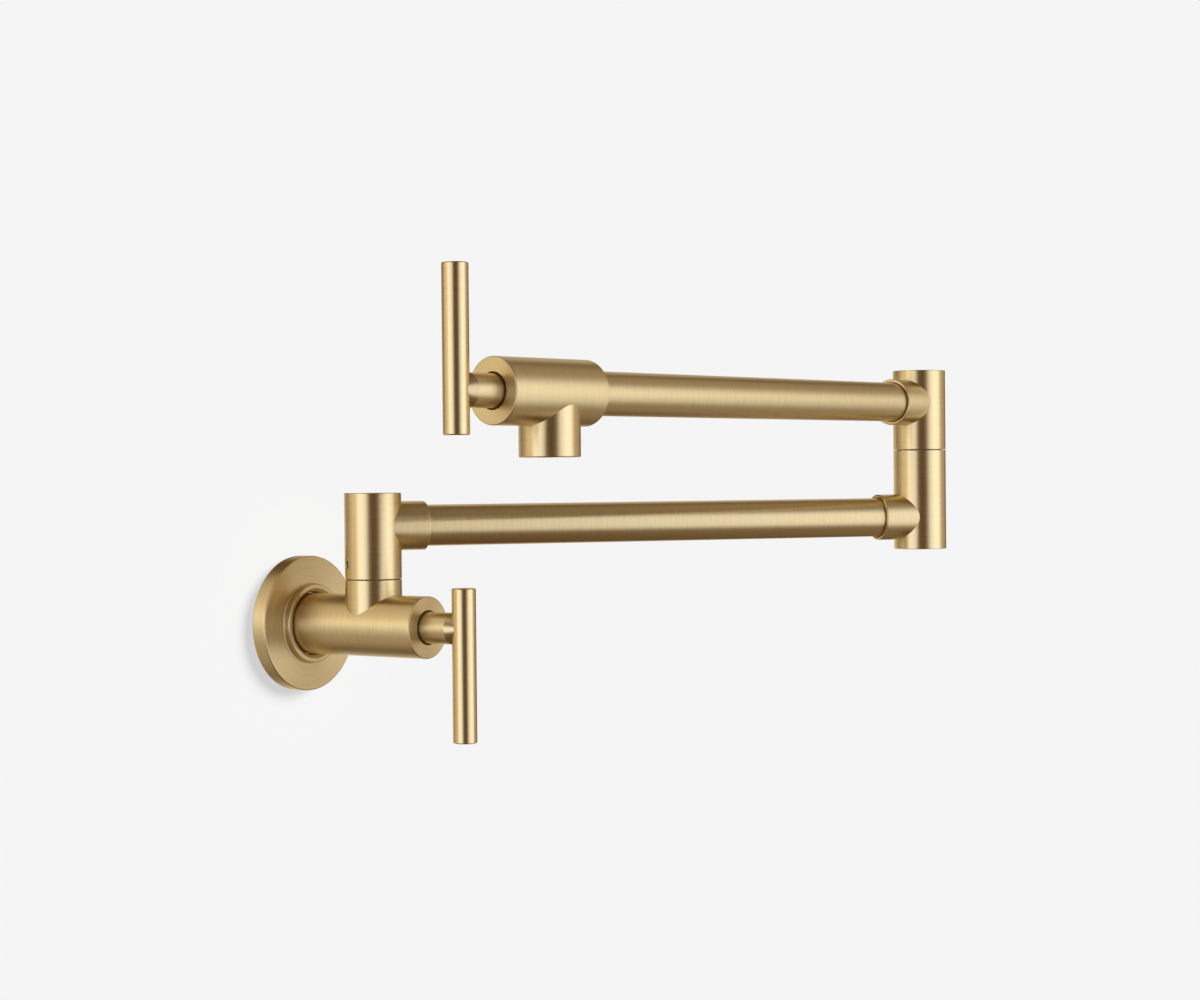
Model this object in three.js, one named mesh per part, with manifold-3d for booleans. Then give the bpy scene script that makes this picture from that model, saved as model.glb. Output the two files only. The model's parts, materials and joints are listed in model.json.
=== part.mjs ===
// Wall mounted pot filler: a folding two-arm tap of turned brass. A barrel valve stands out of the
// wall, a post swivels on its neck, and two tubes joined by a knuckle carry a second valve and the spout.
// Millimetres. The origin is the centre of the escutcheon's back face, +Z is up and the wall is the
// plane Y = 0, with the tap in front of it, towards -Y.
import * as THREE from "three";
import { mergeVertices } from "three/addons/utils/BufferGeometryUtils.js";
import Module from "manifold-3d";

const wasm = await Module();
wasm.setup();

// ---- Driving dimensions ----

// Escutcheon, the round plate on the wall.
const PLATE_DIAMETER = 62.8;
const PLATE_THICKNESS = 7.7;
const PLATE_WALL = 2.6;
const PLATE_RIM = 4;
const COLLAR_DIAMETER = 36.7;
const COLLAR_HEIGHT = 3.2;
const COLLAR_BEVEL_WIDTH = 1.7;
const COLLAR_BEVEL_DEPTH = 1.4;
const COLLAR_BORE_GAP = 0.55;
const COLLAR_ROUND = 0.75;
const EDGE_CHAMFER = 0.5;
const PLATE_RING_SECTION = 1.6;

// Barrels of the wall valve and of the outlet.
const BARREL_DIAMETER = 28.2;
const BARREL_BACK = 2;
const WALL_BARREL_REACH = 78.1;
const BARREL_EDGE = 0.35;
const SEAT_WEB = 4;
const SEAT_BORE = 10;

// Neck, posts and knuckles, all turned to one diameter.
const POST_DIAMETER = 26;
const POST_FROM_WALL = 46.2;
const NECK_SEAM_HEIGHT = 21.3;
const SEAM_GAP = 0.6;
const SEAM_CHAMFER = 0.35;
const POST_RISE = 24.1;
const POST_CAP = 15.2;
const KNUCKLE_FOOT = 16;
const KNUCKLE_SEAM_HEIGHT = 78.85;
const KNUCKLE_RISE = 23.6;
const KNUCKLE_CAP = 16;
const WATERWAY_DIAMETER = 12;

// Arms.
const TUBE_DIAMETER = 19.05;
const TUBE_WALL = 1.2;
const SOCKET_DIAMETER = 22.6;
const SOCKET_REACH = 24.3;
const SOCKET_DEPTH = 13;
const SOCKET_MOUTH_WIDTH = 0.5;
const SOCKET_MOUTH_DEPTH = 0.6;
const LOWER_ARM_LENGTH = 284.1;
const LOWER_ARM_ANGLE = -33.7;
const UPPER_ARM_ANGLE = 172.4;

// Outlet, measured along the upper arm from the knuckle's axis.
const SPOUT_FROM_KNUCKLE = 268.6;
const OUTLET_TAIL = 22;
const OUTLET_NOSE = 33.3;
const OUTLET_TAIL_EDGE = 0.25;
const SPOUT_DIAMETER = 26;
const SPOUT_DROP = 27;
const SPOUT_WALL = 2.1;
const SPOUT_POCKET = 11.5;

// Handles.
const HUB_DIAMETER = 14.2;
const HUB_INSET = 3.5;
const HUB_TAPER_LENGTH = 6.1;
const HUB_TAPER_DEPTH = 2.4;
const BAR_DIAMETER = 10.9;
const BAR_FROM_FACE = 20.4;
const BAR_LONG_END = 50.7;
const BAR_SHORT_END = 18.1;
const BAR_EDGE = 0.6;
const BAR_TENON_DIAMETER = 5;
const BAR_TENON_LENGTH = 3;

// Quarter-turn headworks, measured inwards from the barrel's face.
const HEADWORK_DIAMETER = 15.6;
const HEADWORK_DEPTH = 40.1;
const DISC_DIAMETER = 11.8;
const DISC_THICKNESS = 2;
const PORT_OUTER_RADIUS = 4.7;
const PORT_INNER_RADIUS = 1.8;
const WINDOW_DIAMETER = 6;
const WINDOW_DEPTH = 32.6;
const WAIST_DEPTH_INNER = 37;
const WAIST_DEPTH_OUTER = 27;
const WAIST_CUT = 0.8;
const STEM_DIAMETER = 7.8;
const STEM_INTO_HUB = 9;
const DRIVER_WIDTH = 7;
const STEM_RING_DEPTH = 17;
const SLEEVE_RING_DEPTH = 22;
const SLEEVE_RING_SECTION = 1.6;
const STEM_RING_SECTION = 1.1;
const GLAND_DEPTH = 4.4;
const GLAND_HEIGHT = 4.4;
const GLAND_SLOT_WIDTH = 2;
const GLAND_SLOT_DEPTH = 1.1;
const SEAT_SEAL_WIDTH = 1.4;
const SEAT_SEAL_HEIGHT = 1.7;

// Swivel spigots, measured from the seam they cross.
const SPIGOT_DIAMETER = 16.6;
const SPIGOT_BORE = 10;
const SPIGOT_BELOW = 12;
const SPIGOT_ABOVE = 17.3;
const SPIGOT_RING_HEIGHTS = [10.9, 14.4];
const SPIGOT_RING_SECTION = 1.6;
const SET_SCREW_HEIGHT = 6.6;
const SET_SCREW_DIAMETER = 3.3;
const GROOVE_WIDTH = 4;
const GROOVE_DEPTH = 1.4;
const WASHER_WIDTH = 2.5;
const WASHER_HEIGHT = 2;
const HUB_SCREW_DIAMETER = 2.9;
const HUB_SCREW_FROM_FACE = 5.5;
const SCREW_SOCKET_SHARE = 0.56;
const SCREW_SOCKET_DEPTH_SHARE = 0.5;
const SCREW_SOCKET_SIDES = 6;

// Inlet nipple and aerator.
const NIPPLE_DIAMETER = 20.9;
const NIPPLE_BORE = 14.6;
const NIPPLE_BEHIND_WALL = 22;
const NIPPLE_IN_BARREL = 18;
const NIPPLE_CHAMFER = 1.2;
const AERATOR_WALL = 1.8;
const AERATOR_INSET = 1.2;
const AERATOR_LIP = 1.2;
const SCREEN_THICKNESS = 1.6;
const SCREEN_HOLE = 2.8;
const SCREEN_HOLES = 7;
const SCREEN_HOLE_CIRCLE = 10.4;
const SCREEN_HOLE_FACETS = 8;
const GASKET_THICKNESS = 1.2;

// Clearances between separate pieces.
const FIT_GAP = 0.3;
const FINE_GAP = 0.2;

// Facets round a full circle.
const FACETS_PLATE = 44;
const FACETS_BODY = 28;
const FACETS_SMALL = 14;
const FACETS_RING_SECTION = 5;

// ---- Sizes worked out from those above ----

const plateRadius = PLATE_DIAMETER / 2;
const barrelRadius = BARREL_DIAMETER / 2;
const postRadius = POST_DIAMETER / 2;
const tubeRadius = TUBE_DIAMETER / 2;
const headworkRadius = HEADWORK_DIAMETER / 2;
const headworkBore = headworkRadius + FIT_GAP;
const seatFaceDepth = HEADWORK_DEPTH + SEAT_SEAL_HEIGHT / 2 + FIT_GAP;
const stemRadius = STEM_DIAMETER / 2;
const stemBore = stemRadius + FIT_GAP;
const spigotRadius = SPIGOT_DIAMETER / 2;
const spigotBore = spigotRadius + FIT_GAP;
const washerInner = spigotBore;
const washerOuter = washerInner + WASHER_WIDTH;
const washerPocket = washerOuter + FIT_GAP;
const washerPocketDepth = WASHER_HEIGHT / 2 - SEAM_GAP / 2 + FIT_GAP;
const lowerArmHeight = NECK_SEAM_HEIGHT + POST_RISE;
const upperArmHeight = KNUCKLE_SEAM_HEIGHT + KNUCKLE_RISE;
const socketFloor = SOCKET_REACH - SOCKET_DEPTH;
const outletTail = SPOUT_FROM_KNUCKLE - OUTLET_TAIL;
const outletFace = SPOUT_FROM_KNUCKLE + OUTLET_NOSE;
const spoutBore = SPOUT_DIAMETER / 2 - SPOUT_WALL;

// ---- Materials ----

const satinBrass = new THREE.MeshStandardMaterial({ color: 0xb8995f, roughness: 0.34, metalness: 1 });
const rawBrass = new THREE.MeshStandardMaterial({ color: 0xc2a14d, roughness: 0.45, metalness: 1 });
const steel = new THREE.MeshStandardMaterial({ color: 0xb9bbbd, roughness: 0.3, metalness: 1 });
const rubber = new THREE.MeshStandardMaterial({ color: 0x1d1d1e, roughness: 0.8, metalness: 0 });
const ceramic = new THREE.MeshStandardMaterial({ color: 0xefece4, roughness: 0.25, metalness: 0 });
const acetal = new THREE.MeshStandardMaterial({ color: 0xe6e4de, roughness: 0.5, metalness: 0 });

// ---- Shape helpers ----

// A closed three.js geometry as a solid that can be joined and cut.
function solidOf(geometry) {
  geometry.deleteAttribute("normal");
  geometry.deleteAttribute("uv");
  const merged = mergeVertices(geometry, 1e-4);
  return new wasm.Manifold(
    new wasm.Mesh({
      numProp: 3,
      vertProperties: new Float32Array(merged.attributes.position.array),
      triVerts: new Uint32Array(merged.index.array),
    }),
  );
}

// A turned solid about the Z axis, from [radius, z] points that run anticlockwise round its half section.
function turned(points, facets = FACETS_SMALL) {
  const closed = points[0][0] > 0 ? [...points, points[0]] : points;
  const profile = closed.map(([radius, z]) => new THREE.Vector2(radius, z));
  return solidOf(new THREE.LatheGeometry(profile, facets).rotateX(Math.PI / 2));
}

function rod(radius, from, to, facets = FACETS_SMALL) {
  return turned([[0, from], [radius, from], [radius, to], [0, to]], facets);
}

function pipe(inner, outer, from, to, facets = FACETS_SMALL) {
  return turned([[inner, from], [outer, from], [outer, to], [inner, to]], facets);
}

// A rod with a small chamfer on the chosen ends.
function chamferedRod(radius, from, to, fromEdge, toEdge, facets = FACETS_BODY) {
  const points = [[0, from]];
  if (fromEdge > 0) points.push([radius - fromEdge, from]);
  points.push([radius, from + fromEdge], [radius, to - toEdge]);
  if (toEdge > 0) points.push([radius - toEdge, to]);
  points.push([0, to]);
  return turned(points, facets);
}

// An O-ring about the Z axis.
function torus(ringRadius, sectionRadius, z, facets = FACETS_SMALL) {
  const points = [];
  for (let i = 0; i < FACETS_RING_SECTION; i += 1) {
    const turn = (2 * Math.PI * (i + 0.5)) / FACETS_RING_SECTION;
    points.push([ringRadius + sectionRadius * Math.cos(turn), z + sectionRadius * Math.sin(turn)]);
  }
  return turned(points, facets);
}

function box(width, depth, height, x = 0, y = 0, z = 0) {
  return solidOf(new THREE.BoxGeometry(width, depth, height).translate(x, y, z));
}

// Turns a solid made about +Z so that it points along +X, and moves it to the given height.
function alongX(solid, z = 0) {
  return solid.rotate([0, 90, 0]).translate([0, 0, z]);
}

// Turns a solid made about +Z so that it points along +Y.
function alongY(solid) {
  return solid.rotate([-90, 0, 0]);
}

function piece(name, solid, material) {
  const made = solid.getMesh();
  const geometry = new THREE.BufferGeometry();
  geometry.setAttribute("position", new THREE.BufferAttribute(made.vertProperties, 3));
  geometry.setIndex(new THREE.BufferAttribute(made.triVerts, 1));
  geometry.computeVertexNormals();
  const mesh = new THREE.Mesh(geometry, material);
  mesh.name = name;
  return mesh;
}

// A group whose local +Z points out of a barrel's face, +Y is up, and +X lies across it.
// At angle 0 it points to -Y; the angle turns it about the vertical.
function faceFrame(angle, x, y, z) {
  const group = new THREE.Group();
  group.rotation.set(Math.PI / 2, 0, angle, "ZYX");
  group.position.set(x, y, z);
  return group;
}

// ---- Escutcheon and inlet ----

const plateBore = barrelRadius + COLLAR_BORE_GAP;
const plateRingGroove = barrelRadius + FIT_GAP + PLATE_RING_SECTION + FIT_GAP;
const plateRingHeight = PLATE_THICKNESS - PLATE_WALL / 2;

// The wall plate: a shell that is open behind, with a raised collar that is bevelled towards the barrel.
function makeEscutcheon() {
  const collarRadius = COLLAR_DIAMETER / 2;
  const top = PLATE_THICKNESS + COLLAR_HEIGHT;
  const roundMiddle = COLLAR_ROUND * (1 - Math.SQRT1_2);
  const bevelTop = plateBore + COLLAR_BEVEL_WIDTH;
  const grooveHalf = PLATE_RING_SECTION / 2 + FIT_GAP;
  const hollow = PLATE_THICKNESS - PLATE_WALL;
  return turned(
    [
      [plateRadius - PLATE_RIM, 0],
      [plateRadius, 0],
      [plateRadius, PLATE_THICKNESS - EDGE_CHAMFER],
      [plateRadius - EDGE_CHAMFER, PLATE_THICKNESS],
      [collarRadius + EDGE_CHAMFER, PLATE_THICKNESS],
      [collarRadius, PLATE_THICKNESS + EDGE_CHAMFER],
      [collarRadius, top - COLLAR_ROUND],
      [collarRadius - roundMiddle, top - roundMiddle],
      [collarRadius - COLLAR_ROUND, top],
      [bevelTop, top],
      [plateBore, top - COLLAR_BEVEL_DEPTH],
      [plateBore, plateRingHeight + grooveHalf],
      [plateRingGroove, plateRingHeight + grooveHalf],
      [plateRingGroove, plateRingHeight - grooveHalf],
      [plateBore, plateRingHeight - grooveHalf],
      [plateBore, BARREL_BACK],
      [collarRadius, BARREL_BACK],
      [collarRadius, hollow],
      [plateRadius - PLATE_RIM, hollow],
    ],
    FACETS_PLATE,
  );
}

function makePlateRing() {
  const section = PLATE_RING_SECTION / 2;
  return torus(barrelRadius + FIT_GAP + section, section, plateRingHeight, FACETS_BODY);
}

// The nipple screws into the barrel from behind and carries the tap on the elbow in the wall.
function makeInletNipple() {
  const radius = NIPPLE_DIAMETER / 2;
  return turned([
    [NIPPLE_BORE / 2, -NIPPLE_BEHIND_WALL],
    [radius - NIPPLE_CHAMFER, -NIPPLE_BEHIND_WALL],
    [radius, -NIPPLE_BEHIND_WALL + NIPPLE_CHAMFER],
    [radius, BARREL_BACK + NIPPLE_IN_BARREL],
    [NIPPLE_BORE / 2, BARREL_BACK + NIPPLE_IN_BARREL],
  ], FACETS_BODY);
}

// ---- Wall valve body, in the frame of the escutcheon ----

function makeValveBody() {
  const neckTop = NECK_SEAM_HEIGHT - SEAM_GAP / 2;
  const seatFace = WALL_BARREL_REACH - seatFaceDepth;
  const nippleFloor = BARREL_BACK + NIPPLE_IN_BARREL + FIT_GAP;
  const barrel = chamferedRod(barrelRadius, BARREL_BACK, WALL_BARREL_REACH, 0, BARREL_EDGE);
  const neck = alongY(chamferedRod(postRadius, 0, neckTop, 0, SEAM_CHAMFER));
  const neckCuts = rod(WATERWAY_DIAMETER / 2, 0, neckTop + 1)
    .add(rod(spigotBore, NECK_SEAM_HEIGHT - SPIGOT_BELOW - FIT_GAP, neckTop + 1))
    .add(rod(washerPocket, neckTop - washerPocketDepth, neckTop + 1, FACETS_BODY));
  return barrel
    .add(neck.translate([0, 0, POST_FROM_WALL]))
    .subtract(rod(NIPPLE_DIAMETER / 2 + FIT_GAP, 0, nippleFloor))
    .subtract(rod(headworkBore, nippleFloor - 1, seatFace - SEAT_WEB))
    .subtract(rod(SEAT_BORE / 2, nippleFloor, seatFace + 1))
    .subtract(rod(headworkBore, seatFace, WALL_BARREL_REACH + 1))
    .subtract(alongY(neckCuts).translate([0, 0, POST_FROM_WALL]));
}

// ---- Headworks, the quarter-turn ceramic cartridges. z = 0 is the barrel's face, negative is inside ----

const discRadius = DISC_DIAMETER / 2;
const discChamber = discRadius + FIT_GAP;
const sleeveRingOuter = headworkBore - FIT_GAP;
const stemRingOuter = stemBore - FINE_GAP;
const sealTop = -HEADWORK_DEPTH + SEAT_SEAL_HEIGHT / 2;
const fixedDiscBase = sealTop + FINE_GAP;
const movingDiscBase = fixedDiscBase + DISC_THICKNESS + FINE_GAP;
const driverBase = movingDiscBase + DISC_THICKNESS + FINE_GAP;
const driverTop = -WAIST_DEPTH_OUTER - FIT_GAP;

// A ceramic disc with its two quarter ports.
function makeDisc(base) {
  const port = (side) => {
    const shape = new THREE.Shape();
    const start = side - Math.PI / 4;
    shape.absarc(0, 0, PORT_OUTER_RADIUS, start, start + Math.PI / 2, false);
    shape.absarc(0, 0, PORT_INNER_RADIUS, start + Math.PI / 2, start, true);
    shape.closePath();
    const options = { depth: DISC_THICKNESS + 2, bevelEnabled: false, curveSegments: 3 };
    return solidOf(new THREE.ExtrudeGeometry(shape, options).translate(0, 0, base - 1));
  };
  return rod(discRadius, base, base + DISC_THICKNESS).subtract(port(0)).subtract(port(Math.PI));
}

function makeSleeve() {
  const top = -GLAND_DEPTH - GLAND_HEIGHT - FIT_GAP;
  const waist = headworkRadius - WAIST_CUT;
  const grooveHalf = SLEEVE_RING_SECTION / 2 + FINE_GAP;
  const grooveFloor = sleeveRingOuter - SLEEVE_RING_SECTION - FINE_GAP;
  const window = rod(WINDOW_DIAMETER / 2, -HEADWORK_DIAMETER, HEADWORK_DIAMETER);
  const sleeve = turned([
    [discChamber, -HEADWORK_DEPTH],
    [headworkRadius, -HEADWORK_DEPTH],
    [headworkRadius, -WAIST_DEPTH_INNER],
    [waist, -WAIST_DEPTH_INNER],
    [waist, -WAIST_DEPTH_OUTER],
    [headworkRadius, -WAIST_DEPTH_OUTER],
    [headworkRadius, -SLEEVE_RING_DEPTH - grooveHalf],
    [grooveFloor, -SLEEVE_RING_DEPTH - grooveHalf],
    [grooveFloor, -SLEEVE_RING_DEPTH + grooveHalf],
    [headworkRadius, -SLEEVE_RING_DEPTH + grooveHalf],
    [headworkRadius, top],
    [stemBore, top],
    [stemBore, driverTop + FIT_GAP],
    [discChamber, driverTop + FIT_GAP],
  ]);
  return sleeve.subtract(alongY(window).translate([0, 0, -WINDOW_DEPTH]));
}

function makeStem() {
  const grooveHalf = STEM_RING_SECTION / 2 + FINE_GAP;
  const grooveFloor = stemRingOuter - STEM_RING_SECTION - FINE_GAP;
  return turned([
    [0, driverBase],
    [discRadius, driverBase],
    [discRadius, driverBase + DISC_THICKNESS],
    [stemRadius, driverBase + DISC_THICKNESS],
    [stemRadius, -STEM_RING_DEPTH - grooveHalf],
    [grooveFloor, -STEM_RING_DEPTH - grooveHalf],
    [grooveFloor, -STEM_RING_DEPTH + grooveHalf],
    [stemRadius, -STEM_RING_DEPTH + grooveHalf],
    [stemRadius, STEM_INTO_HUB],
    [0, STEM_INTO_HUB],
  ]).subtract(makeDriverPorts());
}

// The stem's driver is open over the disc's ports, so that water leaves through the sleeve's windows.
function makeDriverPorts() {
  const height = DISC_THICKNESS + 2 * FIT_GAP;
  const middle = driverBase + DISC_THICKNESS / 2;
  const offset = (discRadius + DRIVER_WIDTH) / 2;
  return box(discRadius, DISC_DIAMETER, height, offset, 0, middle)
    .add(box(discRadius, DISC_DIAMETER, height, -offset, 0, middle));
}

// The gland nut closes the headwork in the barrel's mouth and has two slots for a pin spanner.
function makeGlandNut() {
  const nut = pipe(stemBore, headworkRadius, -GLAND_DEPTH - GLAND_HEIGHT, -GLAND_DEPTH);
  const slot = box(HEADWORK_DIAMETER, GLAND_SLOT_WIDTH, 2 * GLAND_SLOT_DEPTH, 0, 0, -GLAND_DEPTH);
  return nut.subtract(slot);
}

function makeHeadwork(prefix) {
  const sealOuter = discRadius;
  const sealRing = pipe(
    sealOuter - SEAT_SEAL_WIDTH,
    sealOuter,
    sealTop - SEAT_SEAL_HEIGHT,
    sealTop,
  );
  const sleeveSection = SLEEVE_RING_SECTION / 2;
  const sleeveRing = torus(sleeveRingOuter - sleeveSection, sleeveSection, -SLEEVE_RING_DEPTH);
  return [
    piece(`${prefix}_cartridge_sleeve`, makeSleeve(), rawBrass),
    piece(`${prefix}_seat_seal`, sealRing, rubber),
    piece(`${prefix}_fixed_disc`, makeDisc(fixedDiscBase), ceramic),
    piece(`${prefix}_sleeve_o_ring`, sleeveRing, rubber),
    piece(`${prefix}_gland_nut`, makeGlandNut(), rawBrass),
  ];
}

// ---- Handles: hub, cross bar, set screw and the stem and disc that turn with them ----

// The hub tapers onto the bar and is scooped to its back, with a tenon that enters the bar.
function makeHub() {
  const radius = HUB_DIAMETER / 2;
  const taperStart = BAR_FROM_FACE - HUB_TAPER_LENGTH;
  const barScoop = BAR_DIAMETER / 2 + FINE_GAP;
  const tenonEnd = BAR_FROM_FACE - BAR_DIAMETER / 2 + BAR_TENON_LENGTH;
  const outer = turned(
    [
      [0, -HUB_INSET],
      [radius, -HUB_INSET],
      [radius, taperStart],
      [radius - HUB_TAPER_DEPTH, BAR_FROM_FACE],
      [0, BAR_FROM_FACE],
    ],
    FACETS_BODY,
  );
  const scoop = alongY(rod(barScoop, -HUB_DIAMETER, HUB_DIAMETER, FACETS_BODY));
  const screwHole = alongY(rod(HUB_SCREW_DIAMETER / 2 + FINE_GAP, -HUB_DIAMETER, 0));
  return outer
    .subtract(scoop.translate([0, 0, BAR_FROM_FACE]))
    .add(rod(BAR_TENON_DIAMETER / 2, taperStart, tenonEnd))
    .subtract(rod(stemBore, -HUB_INSET - 1, STEM_INTO_HUB + FIT_GAP))
    .subtract(screwHole.translate([0, 0, HUB_SCREW_FROM_FACE]));
}

// The bar stands along local Y; longSide is +1 where its long end points up and -1 where it points down.
function makeBar(longSide) {
  const radius = BAR_DIAMETER / 2;
  const tenonHole = rod(
    BAR_TENON_DIAMETER / 2 + FINE_GAP,
    -BAR_DIAMETER,
    BAR_TENON_LENGTH - radius + FIT_GAP,
  );
  const low = longSide > 0 ? -BAR_SHORT_END : -BAR_LONG_END;
  const high = longSide > 0 ? BAR_LONG_END : BAR_SHORT_END;
  return alongY(chamferedRod(radius, low, high, BAR_EDGE, BAR_EDGE, FACETS_BODY))
    .subtract(tenonHole)
    .translate([0, 0, BAR_FROM_FACE]);
}

// A set screw along Z with its socket at the outer end.
function makeSetScrew(diameter, from, to) {
  const floor = to - diameter * SCREW_SOCKET_DEPTH_SHARE;
  const socket = rod((diameter * SCREW_SOCKET_SHARE) / 2, floor, to + 1, SCREW_SOCKET_SIDES);
  return rod(diameter / 2, from, to).subtract(socket);
}

function makeHandle(prefix, longSide) {
  const stemSection = STEM_RING_SECTION / 2;
  const stemRing = torus(stemRingOuter - stemSection, stemSection, -STEM_RING_DEPTH);
  const screw = makeSetScrew(HUB_SCREW_DIAMETER, stemRadius + FINE_GAP, HUB_DIAMETER / 2 - FIT_GAP)
    .rotate([90, 0, 0])
    .translate([0, 0, HUB_SCREW_FROM_FACE]);
  const group = new THREE.Group();
  group.add(
    piece(`${prefix}_handle_hub`, makeHub(), satinBrass),
    piece(`${prefix}_handle_bar`, makeBar(longSide), satinBrass),
    piece(`${prefix}_handle_set_screw`, screw, steel),
    piece(`${prefix}_stem`, makeStem(), rawBrass),
    piece(`${prefix}_stem_o_ring`, stemRing, rubber),
    piece(`${prefix}_moving_disc`, makeDisc(movingDiscBase), ceramic),
  );
  return group;
}

// ---- Swivels: a spigot screwed into the lower half, on which the upper half turns. z = 0 is the seam ----

const spigotRingOuter = spigotBore - FIT_GAP;

function makeSpigot() {
  const ringGroove = spigotRingOuter - SPIGOT_RING_SECTION - FINE_GAP;
  const ringHalf = SPIGOT_RING_SECTION / 2 + FINE_GAP;
  const grooveRadius = spigotRadius - GROOVE_DEPTH;
  const points = [
    [SPIGOT_BORE / 2, -SPIGOT_BELOW],
    [spigotRadius, -SPIGOT_BELOW],
    [spigotRadius, SET_SCREW_HEIGHT - GROOVE_WIDTH / 2],
    [grooveRadius, SET_SCREW_HEIGHT - GROOVE_WIDTH / 2],
    [grooveRadius, SET_SCREW_HEIGHT + GROOVE_WIDTH / 2],
    [spigotRadius, SET_SCREW_HEIGHT + GROOVE_WIDTH / 2],
  ];
  for (const height of SPIGOT_RING_HEIGHTS) {
    points.push([spigotRadius, height - ringHalf], [ringGroove, height - ringHalf]);
    points.push([ringGroove, height + ringHalf], [spigotRadius, height + ringHalf]);
  }
  points.push([spigotRadius, SPIGOT_ABOVE], [SPIGOT_BORE / 2, SPIGOT_ABOVE]);
  return turned(points);
}

function makeSwivel(prefix, seamHeight) {
  const section = SPIGOT_RING_SECTION / 2;
  const rings = SPIGOT_RING_HEIGHTS.map((height, i) =>
    piece(
      `${prefix}_spigot_o_ring_${i + 1}`,
      torus(spigotRingOuter - section, section, height),
      rubber,
    ),
  );
  const washer = pipe(washerInner, washerOuter, -WASHER_HEIGHT / 2, WASHER_HEIGHT / 2);
  const group = new THREE.Group();
  group.position.z = seamHeight;
  group.add(
    piece(`${prefix}_swivel_spigot`, makeSpigot(), rawBrass),
    ...rings,
    piece(`${prefix}_bearing_washer`, washer, acetal),
  );
  return group;
}

// A socket that leaves a post along +X and takes the end of a tube.
function socketBody(height) {
  const radius = SOCKET_DIAMETER / 2;
  return alongX(chamferedRod(radius, 0, SOCKET_REACH, 0, EDGE_CHAMFER), height);
}

function socketCuts(height) {
  const mouth = tubeRadius + FIT_GAP + SOCKET_MOUTH_WIDTH;
  const bore = rod(tubeRadius - TUBE_WALL - FIT_GAP, 0, SOCKET_REACH)
    .add(rod(tubeRadius + FIT_GAP, socketFloor, SOCKET_REACH + 1, FACETS_BODY))
    .add(rod(mouth, SOCKET_REACH - SOCKET_MOUTH_DEPTH, SOCKET_REACH + 1, FACETS_BODY));
  return alongX(bore, height);
}

// The turning half of a swivel: it sits over the spigot, is closed on top, and its socket points along +X.
// Heights are measured from the seam.
function makeSwivelHead(rise, cap) {
  const bottom = SEAM_GAP / 2;
  const screwHole = alongX(rod(SET_SCREW_DIAMETER / 2 + FIT_GAP, -POST_DIAMETER, 0), SET_SCREW_HEIGHT);
  return chamferedRod(postRadius, bottom, rise + cap, SEAM_CHAMFER, EDGE_CHAMFER)
    .add(socketBody(rise))
    .subtract(socketCuts(rise))
    .subtract(rod(washerPocket, 0, bottom + washerPocketDepth, FACETS_BODY))
    .subtract(rod(spigotBore, 0, SPIGOT_ABOVE + FIT_GAP))
    .subtract(rod(WATERWAY_DIAMETER / 2, 0, rise))
    .subtract(screwHole);
}

function makeHeadScrew(name) {
  const tip = spigotRadius - GROOVE_DEPTH + FIT_GAP;
  const screw = makeSetScrew(SET_SCREW_DIAMETER, tip, postRadius - 2 * FIT_GAP);
  return piece(name, screw.rotate([0, -90, 0]).translate([0, 0, SET_SCREW_HEIGHT]), steel);
}

// The fixed half of the knuckle's swivel, with its socket along -X. Heights are from the lower arm's axis.
function makeLowerKnuckle() {
  const seam = KNUCKLE_SEAM_HEIGHT - lowerArmHeight;
  const top = seam - SEAM_GAP / 2;
  return chamferedRod(postRadius, -KNUCKLE_FOOT, top, EDGE_CHAMFER, SEAM_CHAMFER)
    .add(socketBody(0).rotate([0, 0, 180]))
    .subtract(socketCuts(0).rotate([0, 0, 180]))
    .subtract(rod(WATERWAY_DIAMETER / 2, 0, top + 1))
    .subtract(rod(spigotBore, seam - SPIGOT_BELOW - FIT_GAP, top + 1))
    .subtract(rod(washerPocket, top - washerPocketDepth, top + 1, FACETS_BODY));
}

function makeTube(name, from, to, height) {
  const tube = alongX(pipe(tubeRadius - TUBE_WALL, tubeRadius, from, to, FACETS_BODY), height);
  return piece(name, tube, satinBrass);
}

// ---- Outlet: barrel, spout and aerator. x = 0 is the knuckle's axis, z = 0 the upper arm's axis ----

const outletSeatFace = outletFace - seatFaceDepth;
const outletTubeEnd = outletSeatFace - SEAT_WEB - 2 * FIT_GAP;
const pocketTop = -SPOUT_DROP + SPOUT_POCKET;
const aeratorRadius = spoutBore - FIT_GAP;
const aeratorTop = pocketTop - GASKET_THICKNESS - 2 * FINE_GAP;
const aeratorBottom = -SPOUT_DROP + AERATOR_INSET;
const screenRadius = aeratorRadius - AERATOR_WALL - FINE_GAP;

function makeOutletBody() {
  const barrel = alongX(chamferedRod(barrelRadius, outletTail, outletFace, OUTLET_TAIL_EDGE, BARREL_EDGE));
  const spout = chamferedRod(SPOUT_DIAMETER / 2, -SPOUT_DROP, 0, EDGE_CHAMFER, 0);
  const barrelCuts = rod(tubeRadius + FIT_GAP, outletTail - 1, outletSeatFace - SEAT_WEB, FACETS_BODY)
    .add(rod(SEAT_BORE / 2, outletTail, outletSeatFace + 1))
    .add(rod(headworkBore, outletSeatFace, outletFace + 1));
  const spoutCuts = rod(WATERWAY_DIAMETER / 2, -SPOUT_DROP, 0)
    .add(rod(spoutBore, -SPOUT_DROP - 1, pocketTop, FACETS_BODY));
  return barrel
    .add(spout.translate([SPOUT_FROM_KNUCKLE, 0, 0]))
    .subtract(alongX(barrelCuts))
    .subtract(spoutCuts.translate([SPOUT_FROM_KNUCKLE, 0, 0]));
}

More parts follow.
